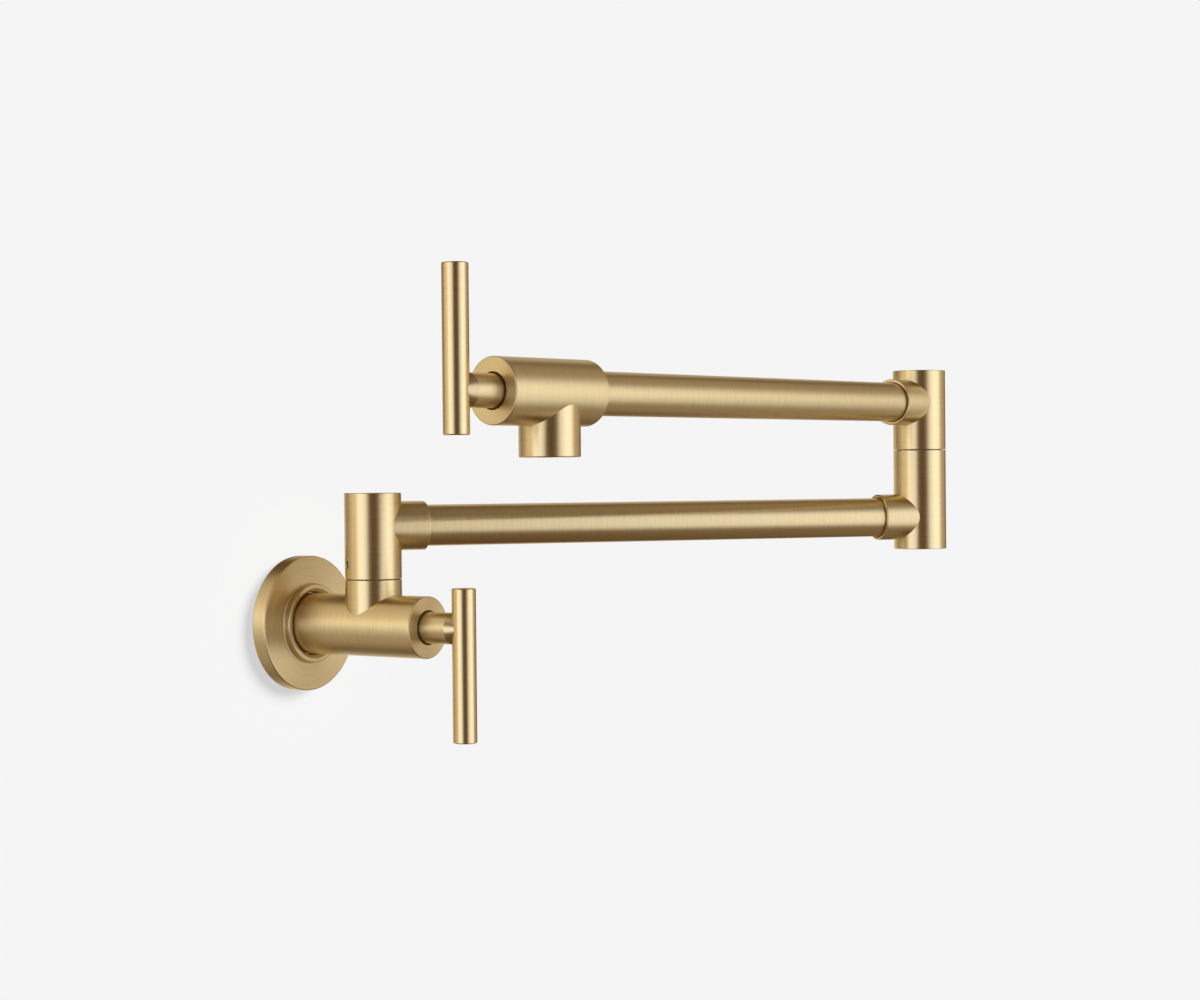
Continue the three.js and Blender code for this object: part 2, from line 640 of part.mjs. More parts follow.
function makeAeratorHousing() {
  return turned([
    [aeratorRadius - AERATOR_WALL - AERATOR_LIP, aeratorBottom],
    [aeratorRadius, aeratorBottom],
    [aeratorRadius, aeratorTop],
    [aeratorRadius - AERATOR_WALL, aeratorTop],
    [aeratorRadius - AERATOR_WALL, aeratorBottom + AERATOR_LIP],
    [aeratorRadius - AERATOR_WALL - AERATOR_LIP, aeratorBottom + AERATOR_LIP],
  ], FACETS_BODY);
}

// The screen is a perforated plate that rests on the housing's lip: one hole at the centre, and a ring.
function makeAeratorScreen() {
  const base = aeratorBottom + AERATOR_LIP + FINE_GAP;
  const hole = rod(SCREEN_HOLE / 2, base - 1, base + SCREEN_THICKNESS + 1, SCREEN_HOLE_FACETS);
  const reach = SCREEN_HOLE_CIRCLE / 2;
  let screen = rod(screenRadius, base, base + SCREEN_THICKNESS).subtract(hole);
  for (let i = 0; i < SCREEN_HOLES; i += 1) {
    const turn = (2 * Math.PI * i) / SCREEN_HOLES;
    screen = screen.subtract(hole.translate([reach * Math.cos(turn), reach * Math.sin(turn), 0]));
  }
  return screen;
}

// ---- Assembly ----

const potFiller = new THREE.Group();

const wallValve = faceFrame(0, 0, 0, 0);
wallValve.add(
  piece("escutcheon", makeEscutcheon(), satinBrass),
  piece("escutcheon_o_ring", makePlateRing(), rubber),
  piece("inlet_nipple", makeInletNipple(), rawBrass),
  piece("valve_body", makeValveBody(), satinBrass),
);

const lowerHeadwork = faceFrame(0, 0, -WALL_BARREL_REACH, 0);
lowerHeadwork.add(...makeHeadwork("lower"), makeHandle("lower", -1));

const neck = new THREE.Group();
neck.position.set(0, -POST_FROM_WALL, 0);
neck.add(makeSwivel("lower", NECK_SEAM_HEIGHT));

const lowerArm = new THREE.Group();
lowerArm.position.set(0, -POST_FROM_WALL, 0);
lowerArm.rotation.z = THREE.MathUtils.degToRad(LOWER_ARM_ANGLE);

const post = new THREE.Group();
post.position.z = NECK_SEAM_HEIGHT;
post.add(
  piece("swivel_post", makeSwivelHead(POST_RISE, POST_CAP), satinBrass),
  makeHeadScrew("swivel_post_set_screw"),
);

const lowerKnuckle = new THREE.Group();
lowerKnuckle.position.set(LOWER_ARM_LENGTH, 0, lowerArmHeight);
lowerKnuckle.add(piece("lower_knuckle", makeLowerKnuckle(), satinBrass));

const tubeStart = socketFloor + FIT_GAP;
const lowerTubeEnd = LOWER_ARM_LENGTH - tubeStart;
const knuckleSwivel = makeSwivel("knuckle", KNUCKLE_SEAM_HEIGHT);
knuckleSwivel.position.x = LOWER_ARM_LENGTH;
lowerArm.add(
  post,
  makeTube("lower_arm_tube", tubeStart, lowerTubeEnd, lowerArmHeight),
  lowerKnuckle,
  knuckleSwivel,
);

const upperArm = new THREE.Group();
upperArm.position.x = LOWER_ARM_LENGTH;
upperArm.rotation.z = THREE.MathUtils.degToRad(UPPER_ARM_ANGLE - LOWER_ARM_ANGLE);
lowerArm.add(upperArm);

const upperKnuckle = new THREE.Group();
upperKnuckle.position.z = KNUCKLE_SEAM_HEIGHT;
upperKnuckle.add(
  piece("upper_knuckle", makeSwivelHead(KNUCKLE_RISE, KNUCKLE_CAP), satinBrass),
  makeHeadScrew("upper_knuckle_set_screw"),
);

const outlet = new THREE.Group();
outlet.position.z = upperArmHeight;
outlet.add(piece("outlet_body", makeOutletBody(), satinBrass));

const aerator = new THREE.Group();
aerator.position.set(SPOUT_FROM_KNUCKLE, 0, upperArmHeight);
const gasketBase = pocketTop - FINE_GAP - GASKET_THICKNESS;
aerator.add(
  piece("aerator_housing", makeAeratorHousing(), satinBrass),
  piece("aerator_screen", makeAeratorScreen(), acetal),
  piece(
    "aerator_gasket",
    pipe(screenRadius, aeratorRadius, gasketBase, gasketBase + GASKET_THICKNESS),
    rubber,
  ),
);

const upperHeadwork = faceFrame(Math.PI / 2, outletFace, 0, upperArmHeight);
upperHeadwork.add(...makeHeadwork("upper"), makeHandle("upper", 1));

upperArm.add(
  upperKnuckle,
  makeTube("upper_arm_tube", tubeStart, outletTubeEnd, upperArmHeight),
  outlet,
  aerator,
  upperHeadwork,
);

potFiller.add(wallValve, lowerHeadwork, neck, lowerArm);

export default potFiller;
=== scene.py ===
# %% [markdown]
# # Satin brass pot filler
# This lesson dresses a folding kitchen tap that hangs on a wall over a hob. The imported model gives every
# piece its size and place. Here the turned pieces are modelled again with fine facets and soft edges, and
# they get the finish that a lathe and a brush leave on brass.

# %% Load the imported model
import json
import math

import bpy
from mathutils import Matrix, Vector


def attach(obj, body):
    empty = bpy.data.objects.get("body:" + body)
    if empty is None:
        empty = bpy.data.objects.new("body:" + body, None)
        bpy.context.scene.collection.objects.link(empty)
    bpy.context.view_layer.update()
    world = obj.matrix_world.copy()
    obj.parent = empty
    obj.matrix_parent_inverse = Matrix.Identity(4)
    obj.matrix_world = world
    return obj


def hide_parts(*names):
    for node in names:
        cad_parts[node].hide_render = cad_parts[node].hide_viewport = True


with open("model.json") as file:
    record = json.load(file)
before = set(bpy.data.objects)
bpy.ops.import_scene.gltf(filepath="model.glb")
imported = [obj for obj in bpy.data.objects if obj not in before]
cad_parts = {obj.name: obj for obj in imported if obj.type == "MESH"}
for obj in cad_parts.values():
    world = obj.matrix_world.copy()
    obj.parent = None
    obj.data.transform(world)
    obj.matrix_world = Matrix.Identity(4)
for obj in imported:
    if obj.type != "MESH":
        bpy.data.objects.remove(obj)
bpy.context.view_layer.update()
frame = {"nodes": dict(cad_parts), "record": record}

# %% [markdown]
# Sizes are in millimetres, as a drawing has them, and Blender works in metres. An operator acts on all that
# is selected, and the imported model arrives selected, so everything is deselected before a piece is added.

# %% Millimetres and selection
MM = 0.001


def only(piece):
    bpy.ops.object.select_all(action="DESELECT")
    piece.select_set(True)
    bpy.context.view_layer.objects.active = piece


def count(piece):
    print(piece.name, "has", len(piece.data.polygons), "faces")


# %% [markdown]
# Nearly every piece of this tap comes off a lathe. A lathe part could be spun from a drawn profile, but here
# a ring of vertices is extruded from one point of the profile to the next and scaled as it goes, because
# each step of the profile is then one cut of the turning tool. The ends are closed with a fan, or, on a
# hollow part, the last ring is bridged to the first. A profile is a list of radius and height.

# %% Turn a piece
SIDES = 96


def turned(name, profile, hollow=False, sides=SIDES):
    bpy.ops.object.select_all(action="DESELECT")
    radius, height = profile[0]
    bpy.ops.mesh.primitive_circle_add(vertices=sides, radius=radius * MM, location=(0, 0, height * MM))
    piece = bpy.context.object
    piece.name = piece.data.name = name
    bpy.ops.object.transform_apply(location=True, rotation=False, scale=False)
    bpy.ops.object.mode_set(mode="EDIT")
    for next_radius, next_height in profile[1:]:
        rise = (0, 0, (next_height - height) * MM)
        bpy.ops.mesh.extrude_edges_move(TRANSFORM_OT_translate={"value": rise})
        grow = next_radius / radius
        bpy.ops.transform.resize(value=(grow, grow, 1), center_override=(0, 0, next_height * MM))
        radius, height = next_radius, next_height
    if hollow:
        bpy.ops.mesh.select_all(action="DESELECT")
        bpy.ops.mesh.select_non_manifold()
        bpy.ops.mesh.bridge_edge_loops()
    else:
        bpy.ops.mesh.edge_face_add()
        bpy.ops.mesh.poke()
        bpy.ops.mesh.select_all(action="DESELECT")
        bpy.ops.mesh.select_non_manifold()
        bpy.ops.mesh.edge_face_add()
        bpy.ops.mesh.poke()
    bpy.ops.mesh.select_all(action="SELECT")
    bpy.ops.mesh.normals_make_consistent(inside=False)
    bpy.ops.object.mode_set(mode="OBJECT")
    return piece


# %% [markdown]
# A sharp turned edge is broken with a file, and the narrow rounding is what catches the light. It could be
# drawn into each profile, but a Bevel modifier rounds every corner that is sharper than its limit at once.
# Five steps make each step 18 degrees, which is less than the angle under which shading is smoothed.

# %% Break the edges
EDGE_LIMIT = math.radians(40)
EDGE_STEPS = 5


def break_edges(piece, width, steps=EDGE_STEPS):
    only(piece)
    rounding = piece.modifiers.new("broken edges", "BEVEL")
    rounding.width = width * MM
    rounding.segments = steps
    rounding.limit_method = "ANGLE"
    rounding.angle_limit = EDGE_LIMIT
    bpy.ops.object.modifier_apply(modifier=rounding.name)
    return piece


# %% [markdown]
# The brush runs round each turned piece while it spins, so its lines go round the axis. A UV map records
# that: U counts turns round the axis, and V is the way along the profile in millimetres. It is written while
# the piece still stands on its own axis, and each corner is unwound next to the middle of its face, so no
# face is torn where the turn starts again.

# %% Unroll a turned piece
ROUND = "round_the_axis"
ON_AXIS = 1e-6


def unroll(piece):
    mesh = piece.data
    layer = mesh.uv_layers.get(ROUND) or mesh.uv_layers.new(name=ROUND)
    for face in mesh.polygons:
        middle = math.atan2(face.center.y, face.center.x)
        for corner in face.loop_indices:
            place = mesh.vertices[mesh.loops[corner].vertex_index].co
            radius = math.hypot(place.x, place.y)
            turn = 0.0
            if radius > ON_AXIS:
                turn = (math.atan2(place.y, place.x) - middle + math.pi) % (2 * math.pi) - math.pi
            layer.data[corner].uv = ((middle + turn) / (2 * math.pi), (place.z + radius) / MM)
    return piece


# %% [markdown]
# A piece is turned about Z and then carried to its place by the frame that it belongs to. The place is
# applied to the mesh, so the object itself stays at the origin, unturned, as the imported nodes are.

# %% Place a piece
def placed(piece, where):
    only(piece)
    piece.matrix_world = where
    bpy.ops.object.transform_apply(location=True, rotation=True, scale=True)
    return piece


# %% [markdown]
# Where two round pieces meet, such as a barrel and its neck, the maker brazes them, and a drill bores them
# out. A Boolean modifier does both here, because it gives the exact curve in which two cylinders meet. The
# branch and the drill are turned pieces too, so what they leave on the body is brushed round their own axis.
# Where the sides of two round pieces line up, a cut leaves points that nearly touch. They are merged after
# each cut, because the next one needs a clean shell.

# %% Braze and drill
NEARLY_TOUCH = 0.002


def combined(piece, tool, operation):
    only(piece)
    step = piece.modifiers.new(operation, "BOOLEAN")
    step.operation = operation
    step.object = tool
    step.solver = "EXACT"
    bpy.ops.object.modifier_apply(modifier=step.name)
    bpy.data.objects.remove(tool)
    bpy.ops.object.mode_set(mode="EDIT")
    bpy.ops.mesh.select_all(action="SELECT")
    bpy.ops.mesh.remove_doubles(threshold=NEARLY_TOUCH * MM)
    bpy.ops.mesh.dissolve_degenerate(threshold=NEARLY_TOUCH * MM)
    bpy.ops.object.mode_set(mode="OBJECT")
    return piece


def braze(body, name, where, profile, edge):
    branch = unroll(break_edges(turned(name, profile), edge))
    return combined(body, placed(branch, where), "UNION")


def drill(body, name, where, profile, sides=SIDES):
    tool = unroll(turned(name, profile, sides=sides))
    return combined(body, placed(tool, where), "DIFFERENCE")


# %% [markdown]
# Shading stays smooth round each cylinder and breaks at the seam between two of them. It could be set smooth
# all over, but a flat end would then look domed. Normals are also weighted by the area of the faces, so that
# a flat end stays flat up to its broken edge and only the edge turns.

# %% Smooth the shading
SMOOTH_UNDER = math.radians(20)


def smooth(piece):
    only(piece)
    bpy.ops.object.shade_smooth_by_angle(angle=SMOOTH_UNDER)
    weighting = piece.modifiers.new("weighted normals", "WEIGHTED_NORMAL")
    weighting.keep_sharp = True
    bpy.ops.object.modifier_apply(modifier=weighting.name)
    count(piece)
    return piece


# %% [markdown]
# The tap is laid out by a few numbers of its drawing: how far the neck stands from the wall, how the two
# arms are turned, and where the knuckle and the spout sit along them. Each frame below is the place of one
# lathe axis, one arm or one handle.

# %% Frames of the tap
POST_FROM_WALL = 46.2
WALL_BARREL_REACH = 78.1
LOWER_ARM_LENGTH = 284.1
LOWER_ARM_ANGLE = math.radians(-33.7)
UPPER_ARM_ANGLE = math.radians(172.4)
LOWER_ARM_HEIGHT = 45.4
UPPER_ARM_HEIGHT = 102.45
SPOUT_FROM_KNUCKLE = 268.6
OUTLET_FACE = 301.9


def moved(x, y, z):
    return Matrix.Translation(Vector((x, y, z)) * MM)


ALONG_X = Matrix.Rotation(math.pi / 2, 4, "Y")
OUT_OF_WALL = Matrix.Rotation(math.pi / 2, 4, "X")
UP_THE_FACE = Matrix.Rotation(-math.pi / 2, 4, "X")
QUARTER_TURN = Matrix.Rotation(math.pi / 2, 4, "Z")
HALF_TURN = Matrix.Rotation(math.pi, 4, "Z")
NECK = moved(0, -POST_FROM_WALL, 0)
LOWER_ARM = NECK @ Matrix.Rotation(LOWER_ARM_ANGLE, 4, "Z")
KNUCKLE = LOWER_ARM @ moved(LOWER_ARM_LENGTH, 0, 0)
UPPER_ARM = KNUCKLE @ Matrix.Rotation(UPPER_ARM_ANGLE - LOWER_ARM_ANGLE, 4, "Z")
SPOUT = UPPER_ARM @ moved(SPOUT_FROM_KNUCKLE, 0, 0)
UPPER_AXIS = UPPER_ARM @ moved(0, 0, UPPER_ARM_HEIGHT) @ ALONG_X
LOWER_FACE = moved(0, -WALL_BARREL_REACH, 0) @ OUT_OF_WALL
UPPER_FACE = UPPER_ARM @ moved(OUTLET_FACE, 0, UPPER_ARM_HEIGHT) @ QUARTER_TURN @ OUT_OF_WALL
print("knuckle stands at", [round(part / MM, 1) for part in KNUCKLE.translation], "mm")

# %% [markdown]
# The camera stands where the photograph was taken from. Its place, turn and focal length were worked out
# from the edges of the tap in the picture, which is 1200 by 1000 pixels. It could be turned by eye until the
# outlines agree, but a camera solved from measured edges also gives the right foreshortening.

# %% Camera
PHOTO_WIDTH = 1200
SENSOR = 36
FOCAL_PIXELS = 2291.3
CAMERA_PLACE = (-799.8, -729.2, 68.6)
CAMERA_YAW = math.radians(55.169)
CAMERA_PITCH = math.radians(-0.667)
CAMERA_ROLL = math.radians(0.534)

ahead = Vector((
    math.sin(CAMERA_YAW) * math.cos(CAMERA_PITCH),
    math.cos(CAMERA_YAW) * math.cos(CAMERA_PITCH),
    math.sin(CAMERA_PITCH),
))
level = Vector((math.cos(CAMERA_YAW), -math.sin(CAMERA_YAW), 0))
above = level.cross(ahead)
right = math.cos(CAMERA_ROLL) * level - math.sin(CAMERA_ROLL) * above
up = math.sin(CAMERA_ROLL) * level + math.cos(CAMERA_ROLL) * above

bpy.ops.object.camera_add()
camera = bpy.context.object
camera.name = "camera"
camera.matrix_world = moved(*CAMERA_PLACE) @ Matrix((right, up, -ahead)).transposed().to_4x4()
camera.data.sensor_width = SENSOR
camera.data.lens = FOCAL_PIXELS * SENSOR / PHOTO_WIDTH
bpy.context.scene.camera = camera
print("lens", round(camera.data.lens, 1), "mm")

# %% [markdown]
# The wall plate hides the hole in the tiles. It is a spun shell, open behind, with a raised collar round the
# barrel. Its rim on the wall is flat, and the collar falls away inwards in a bevel that shows as a bright
# ring. A closed profile is turned all at once, so that the plate has a real wall and no filled back.

# %% Wall plate
PLATE_RADIUS = 31.4
PLATE_THICKNESS = 7.7
PLATE_HOLLOW = 5.1
PLATE_RIM = 4
COLLAR_RADIUS = 18.35
COLLAR_TOP = 10.9
BARREL_RADIUS = 14.1
BARREL_BACK = 2
PLATE_CLEARANCE = 0.55
PLATE_BORE = BARREL_RADIUS + PLATE_CLEARANCE
BEVEL_WIDTH = 1.7
BEVEL_DEPTH = 1.4
PLATE_EDGE = 0.6

wall_plate = turned("wall_plate", [
    (PLATE_RADIUS - PLATE_RIM, 0),
    (PLATE_RADIUS, 0),
    (PLATE_RADIUS, PLATE_THICKNESS),
    (COLLAR_RADIUS, PLATE_THICKNESS),
    (COLLAR_RADIUS, COLLAR_TOP),
    (PLATE_BORE + BEVEL_WIDTH, COLLAR_TOP),
    (PLATE_BORE, COLLAR_TOP - BEVEL_DEPTH),
    (PLATE_BORE, BARREL_BACK),
    (COLLAR_RADIUS, BARREL_BACK),
    (COLLAR_RADIUS, PLATE_HOLLOW),
    (PLATE_RADIUS - PLATE_RIM, PLATE_HOLLOW),
], hollow=True)
placed(smooth(unroll(break_edges(wall_plate, PLATE_EDGE))), OUT_OF_WALL)

# %% [markdown]
# The wall valve is a barrel with a short neck on its side. Each is turned on its own, with its own brushing,
# before the two are joined, because the brush lines of the real piece also run round two different axes.

# %% Wall valve, barrel and neck
POST_RADIUS = 13
NECK_TOP = 21.15
SEAM_EDGE = 0.3
BARREL_EDGE = 0.55

wall_valve = turned("wall_valve_barrel", [
    (BARREL_RADIUS, BARREL_BACK),
    (BARREL_RADIUS, WALL_BARREL_REACH),
])
placed(unroll(break_edges(wall_valve, BARREL_EDGE)), OUT_OF_WALL)
braze(wall_valve, "neck", NECK, [(POST_RADIUS, 0), (POST_RADIUS, NECK_TOP)], SEAM_EDGE)
count(wall_valve)

# %% [markdown]
# The barrel is then bored: from the wall for the inlet, from the front for the valve cartridge, and down the
# neck for the water and the spigot that the post turns on. A drill starts a little outside the face that it
# opens, and where two drills cross, one runs past the other's axis, so that no two surfaces coincide.

# %% Wall valve, bores
NIPPLE_HOLE = 10.75
NIPPLE_HOLE_END = 20.3
HEADWORK_BORE = 7.9
SEAT_BORE = 5
SEAT_BACK = 32.85
SEAT_FRONT = 36.85
WATERWAY = 6
SPIGOT_BORE = 8.6
SPIGOT_HOLE_FLOOR = 9
WASHER_POCKET = 11.4
WASHER_FLOOR = 20
PAST = 1
DRILLED_PAST = 1.7

drill(wall_valve, "valve_bore", OUT_OF_WALL, [
    (NIPPLE_HOLE, BARREL_BACK - PAST),
    (NIPPLE_HOLE, NIPPLE_HOLE_END),
    (HEADWORK_BORE, NIPPLE_HOLE_END),
    (HEADWORK_BORE, SEAT_BACK),
    (SEAT_BORE, SEAT_BACK),
    (SEAT_BORE, SEAT_FRONT),
    (HEADWORK_BORE, SEAT_FRONT),
    (HEADWORK_BORE, WALL_BARREL_REACH + PAST),
])
drill(wall_valve, "neck_bore", NECK, [
    (WATERWAY, -DRILLED_PAST),
    (WATERWAY, SPIGOT_HOLE_FLOOR),
    (SPIGOT_BORE, SPIGOT_HOLE_FLOOR),
    (SPIGOT_BORE, WASHER_FLOOR),
    (WASHER_POCKET, WASHER_FLOOR),
    (WASHER_POCKET, NECK_TOP + PAST),
])
smooth(wall_valve)

# %% [markdown]
# An arm tube goes into a socket, a short round branch that leaves a post at a right angle. The socket's
# mouth is turned a little wider than the tube, so a fine dark ring shows where the tube goes in. The post
# and both halves of the knuckle, and so three of the four sockets, share one function.

# %% Sockets
SOCKET_RADIUS = 11.3
SOCKET_REACH = 24.3
SOCKET_FLOOR = 11.3
SOCKET_MOUTH_WIDTH = 0.5
SOCKET_MOUTH_DEPTH = 0.6
TUBE_RADIUS = 9.525
TUBE_BORE = 8.325
FIT = 0.3
POST_EDGE = 0.5


def add_socket(body, where):
    along_arm = where @ ALONG_X
    braze(body, "socket", along_arm, [(SOCKET_RADIUS, 0), (SOCKET_RADIUS, SOCKET_REACH)], POST_EDGE)
    mouth = SOCKET_REACH - SOCKET_MOUTH_DEPTH
    drill(body, "socket_bore", along_arm, [
        (TUBE_BORE - FIT, -DRILLED_PAST),
        (TUBE_BORE - FIT, SOCKET_FLOOR),
        (TUBE_RADIUS + FIT, SOCKET_FLOOR),
        (TUBE_RADIUS + FIT, mouth),
        (TUBE_RADIUS + FIT + SOCKET_MOUTH_WIDTH, mouth),
        (TUBE_RADIUS + FIT + SOCKET_MOUTH_WIDTH, SOCKET_REACH + PAST),
    ])


# %% [markdown]
# Grub screws lock the turning pieces: one in the side of each swivelling head and one under each handle.
# A screw is a turned pin with a bevelled end, and a six-sided drill cuts the hole for its key.

# %% Grub screws
SCREW_SIDES = 32
SCREW_SHOULDER = 0.35
SCREW_END_SHARE = 0.55
KEY_SIDES = 6
KEY_SHARE = 0.5
KEY_DEPTH = 1.4


def grub_screw(name, where, radius, tip, end):
    screw = turned(name, [
        (radius, tip),
        (radius, end - SCREW_SHOULDER),
        (radius * SCREW_END_SHARE, end),
    ], sides=SCREW_SIDES)
    key_hole = turned("key_hole", [
        (radius * KEY_SHARE, end - KEY_DEPTH),
        (radius * KEY_SHARE, end + PAST),
    ], sides=KEY_SIDES)
    return placed(smooth(combined(screw, key_hole, "DIFFERENCE")), where)


# %% [markdown]
# The post over the wall valve and the upper half of the knuckle are the same kind of piece. Each is a cap
# that turns on the piece below, with a dark seam between them, and a grub screw in its side keeps it from
# lifting off. The screw faces away from the arm, and is turned a few degrees to where the photograph has it.

# %% Swivelling heads
NECK_SEAM = 21.3
KNUCKLE_SEAM = 78.85
SEAM_GAP = 0.3
POST_TOP = 60.6
KNUCKLE_TOP = 118.45
POCKET_DEPTH = 1.3
SPIGOT_HOLE_DEPTH = 17.6
SCREW_HEIGHT = 6.6
SCREW_RADIUS = 1.65
SCREW_HOLE = 1.8
SCREW_TIP = 7.2
SCREW_FACE = 12.7
SCREW_TURN = math.radians(8.5)
AWAY_FROM_ARM = Matrix.Rotation(SCREW_TURN, 4, "Z") @ Matrix.Rotation(-math.pi / 2, 4, "Y")


def swivel_head(name, where, seam, arm_height, top):
    head = turned(name, [(POST_RADIUS, seam + SEAM_GAP / 2), (POST_RADIUS, top)])
    placed(unroll(break_edges(head, SEAM_EDGE)), where)
    add_socket(head, where @ moved(0, 0, arm_height))
    drill(head, "head_bore", where, [
        (WASHER_POCKET, seam - PAST),
        (WASHER_POCKET, seam + POCKET_DEPTH),
        (SPIGOT_BORE, seam + POCKET_DEPTH),
        (SPIGOT_BORE, seam + SPIGOT_HOLE_DEPTH),
        (WATERWAY, seam + SPIGOT_HOLE_DEPTH),
        (WATERWAY, arm_height + DRILLED_PAST),
    ])
    screw_place = where @ moved(0, 0, seam + SCREW_HEIGHT) @ AWAY_FROM_ARM
    drill(head, "screw_hole", screw_place, [
        (SCREW_HOLE, 0),
        (SCREW_HOLE, POST_RADIUS + PAST),
    ], sides=SCREW_SIDES)
    screw = grub_screw(name + "_screw", screw_place, SCREW_RADIUS, SCREW_TIP, SCREW_FACE)
    return smooth(head), screw


turning_post, post_screw = swivel_head("turning_post", LOWER_ARM, NECK_SEAM, LOWER_ARM_HEIGHT, POST_TOP)
turning_knuckle, knuckle_screw = swivel_head(
    "turning_knuckle", UPPER_ARM, KNUCKLE_SEAM, UPPER_ARM_HEIGHT, KNUCKLE_TOP)

# %% [markdown]
# The lower half of the knuckle is fixed to the lower arm. It could be the swivelling head turned upside
# down, but it has no screw and stands taller, so it is turned on its own. Its socket points back along the
# arm, so its frame is turned half round, and its bore is open to the top, where the spigot stands in it.

# %% Standing half of the knuckle
KNUCKLE_FOOT = 29.4
SPIGOT_HOLE_BELOW = 12.3

standing_knuckle = turned("standing_knuckle", [
    (POST_RADIUS, KNUCKLE_FOOT),
    (POST_RADIUS, KNUCKLE_SEAM - SEAM_GAP / 2),
])
placed(unroll(break_edges(standing_knuckle, SEAM_EDGE)), KNUCKLE)
add_socket(standing_knuckle, KNUCKLE @ HALF_TURN @ moved(0, 0, LOWER_ARM_HEIGHT))
drill(standing_knuckle, "knuckle_bore", KNUCKLE, [
    (WATERWAY, LOWER_ARM_HEIGHT - DRILLED_PAST),
    (WATERWAY, KNUCKLE_SEAM - SPIGOT_HOLE_BELOW),
    (SPIGOT_BORE, KNUCKLE_SEAM - SPIGOT_HOLE_BELOW),
    (SPIGOT_BORE, KNUCKLE_SEAM - POCKET_DEPTH),
    (WASHER_POCKET, KNUCKLE_SEAM - POCKET_DEPTH),
    (WASHER_POCKET, KNUCKLE_SEAM + PAST),
])
smooth(standing_knuckle)

# %% [markdown]
# The outlet at the end of the upper arm repeats the wall valve: a barrel of the same diameter, with the
# spout hanging from its side. The spout is as thick as the posts and nearly as thick as the barrel, so the
# two meet in a long curve that almost reaches the barrel's middle.

# %% Outlet body
OUTLET_TAIL = 246.6
TUBE_HOLE_END = 256.65
OUTLET_SEAT_END = 260.65
SPOUT_BOTTOM = 75.45
SPOUT_BORE = 10.9
SPOUT_POCKET_TOP = 86.95

outlet = turned("outlet_barrel", [(BARREL_RADIUS, OUTLET_TAIL), (BARREL_RADIUS, OUTLET_FACE)])
placed(unroll(break_edges(outlet, BARREL_EDGE)), UPPER_AXIS)
braze(outlet, "spout", SPOUT, [(POST_RADIUS, SPOUT_BOTTOM), (POST_RADIUS, UPPER_ARM_HEIGHT)], POST_EDGE)
drill(outlet, "outlet_bore", UPPER_AXIS, [
    (TUBE_RADIUS + FIT, OUTLET_TAIL - PAST),
    (TUBE_RADIUS + FIT, TUBE_HOLE_END),
    (SEAT_BORE, TUBE_HOLE_END),
    (SEAT_BORE, OUTLET_SEAT_END),
    (HEADWORK_BORE, OUTLET_SEAT_END),
    (HEADWORK_BORE, OUTLET_FACE + PAST),
])
drill(outlet, "spout_bore", SPOUT, [
    (SPOUT_BORE, SPOUT_BOTTOM - PAST),
    (SPOUT_BORE, SPOUT_POCKET_TOP),
    (WATERWAY, SPOUT_POCKET_TOP),
    (WATERWAY, UPPER_ARM_HEIGHT + DRILLED_PAST),
])
smooth(outlet)

# %% [markdown]
# The arms are drawn tube of 19.05 mm, three quarters of an inch, and stay hollow, because water runs through
# them. A curve with a round bevel would also make a tube, but one without a wall. A closed profile of four
# points gives the wall as well, and the same unrolled map for the brushing as on the turned pieces.

# %% Arm tubes
TUBE_START = 11.6
LOWER_TUBE_END = 272.5
UPPER_TUBE_END = 256.05


def arm_tube(name, where, end):
    tube = turned(name, [
        (TUBE_BORE, TUBE_START),
        (TUBE_RADIUS, TUBE_START),
        (TUBE_RADIUS, end),
        (TUBE_BORE, end),
    ], hollow=True)
    return placed(smooth(unroll(tube)), where @ ALONG_X)


lower_tube = arm_tube("lower_tube", LOWER_ARM @ moved(0, 0, LOWER_ARM_HEIGHT), LOWER_TUBE_END)
upper_tube = arm_tube("upper_tube", UPPER_ARM @ moved(0, 0, UPPER_ARM_HEIGHT), UPPER_TUBE_END)

# %% [markdown]
# A handle is a hub on the valve's stem with a plain round bar across it. The hub tapers towards the bar, and
# a mill a hair thicker than the bar scoops its end out, so the two fit with no gap to see. Each bar sits off
# centre, long end down on the wall valve and long end up on the outlet.

# %% Handle hubs
HUB_RADIUS = 7.1
HUB_INSET = 3.5
HUB_TAPER_START = 14.3
HUB_TAPER_END_RADIUS = 4.7
HUB_EDGE = 0.25
BAR_RADIUS = 5.45
BAR_FROM_FACE = 20.4
SADDLE_GAP = 0.05
MILL_HALF = 20
STEM_HOLE = 4.2
STEM_HOLE_END = 9.3
HUB_SCREW_FROM_FACE = 5.5
HUB_SCREW_RADIUS = 1.45
HUB_SCREW_HOLE = 1.6
HUB_SCREW_TIP = 4.2
HUB_SCREW_FACE = 6.8


def across_hub(where):
    return where @ moved(0, 0, BAR_FROM_FACE) @ UP_THE_FACE


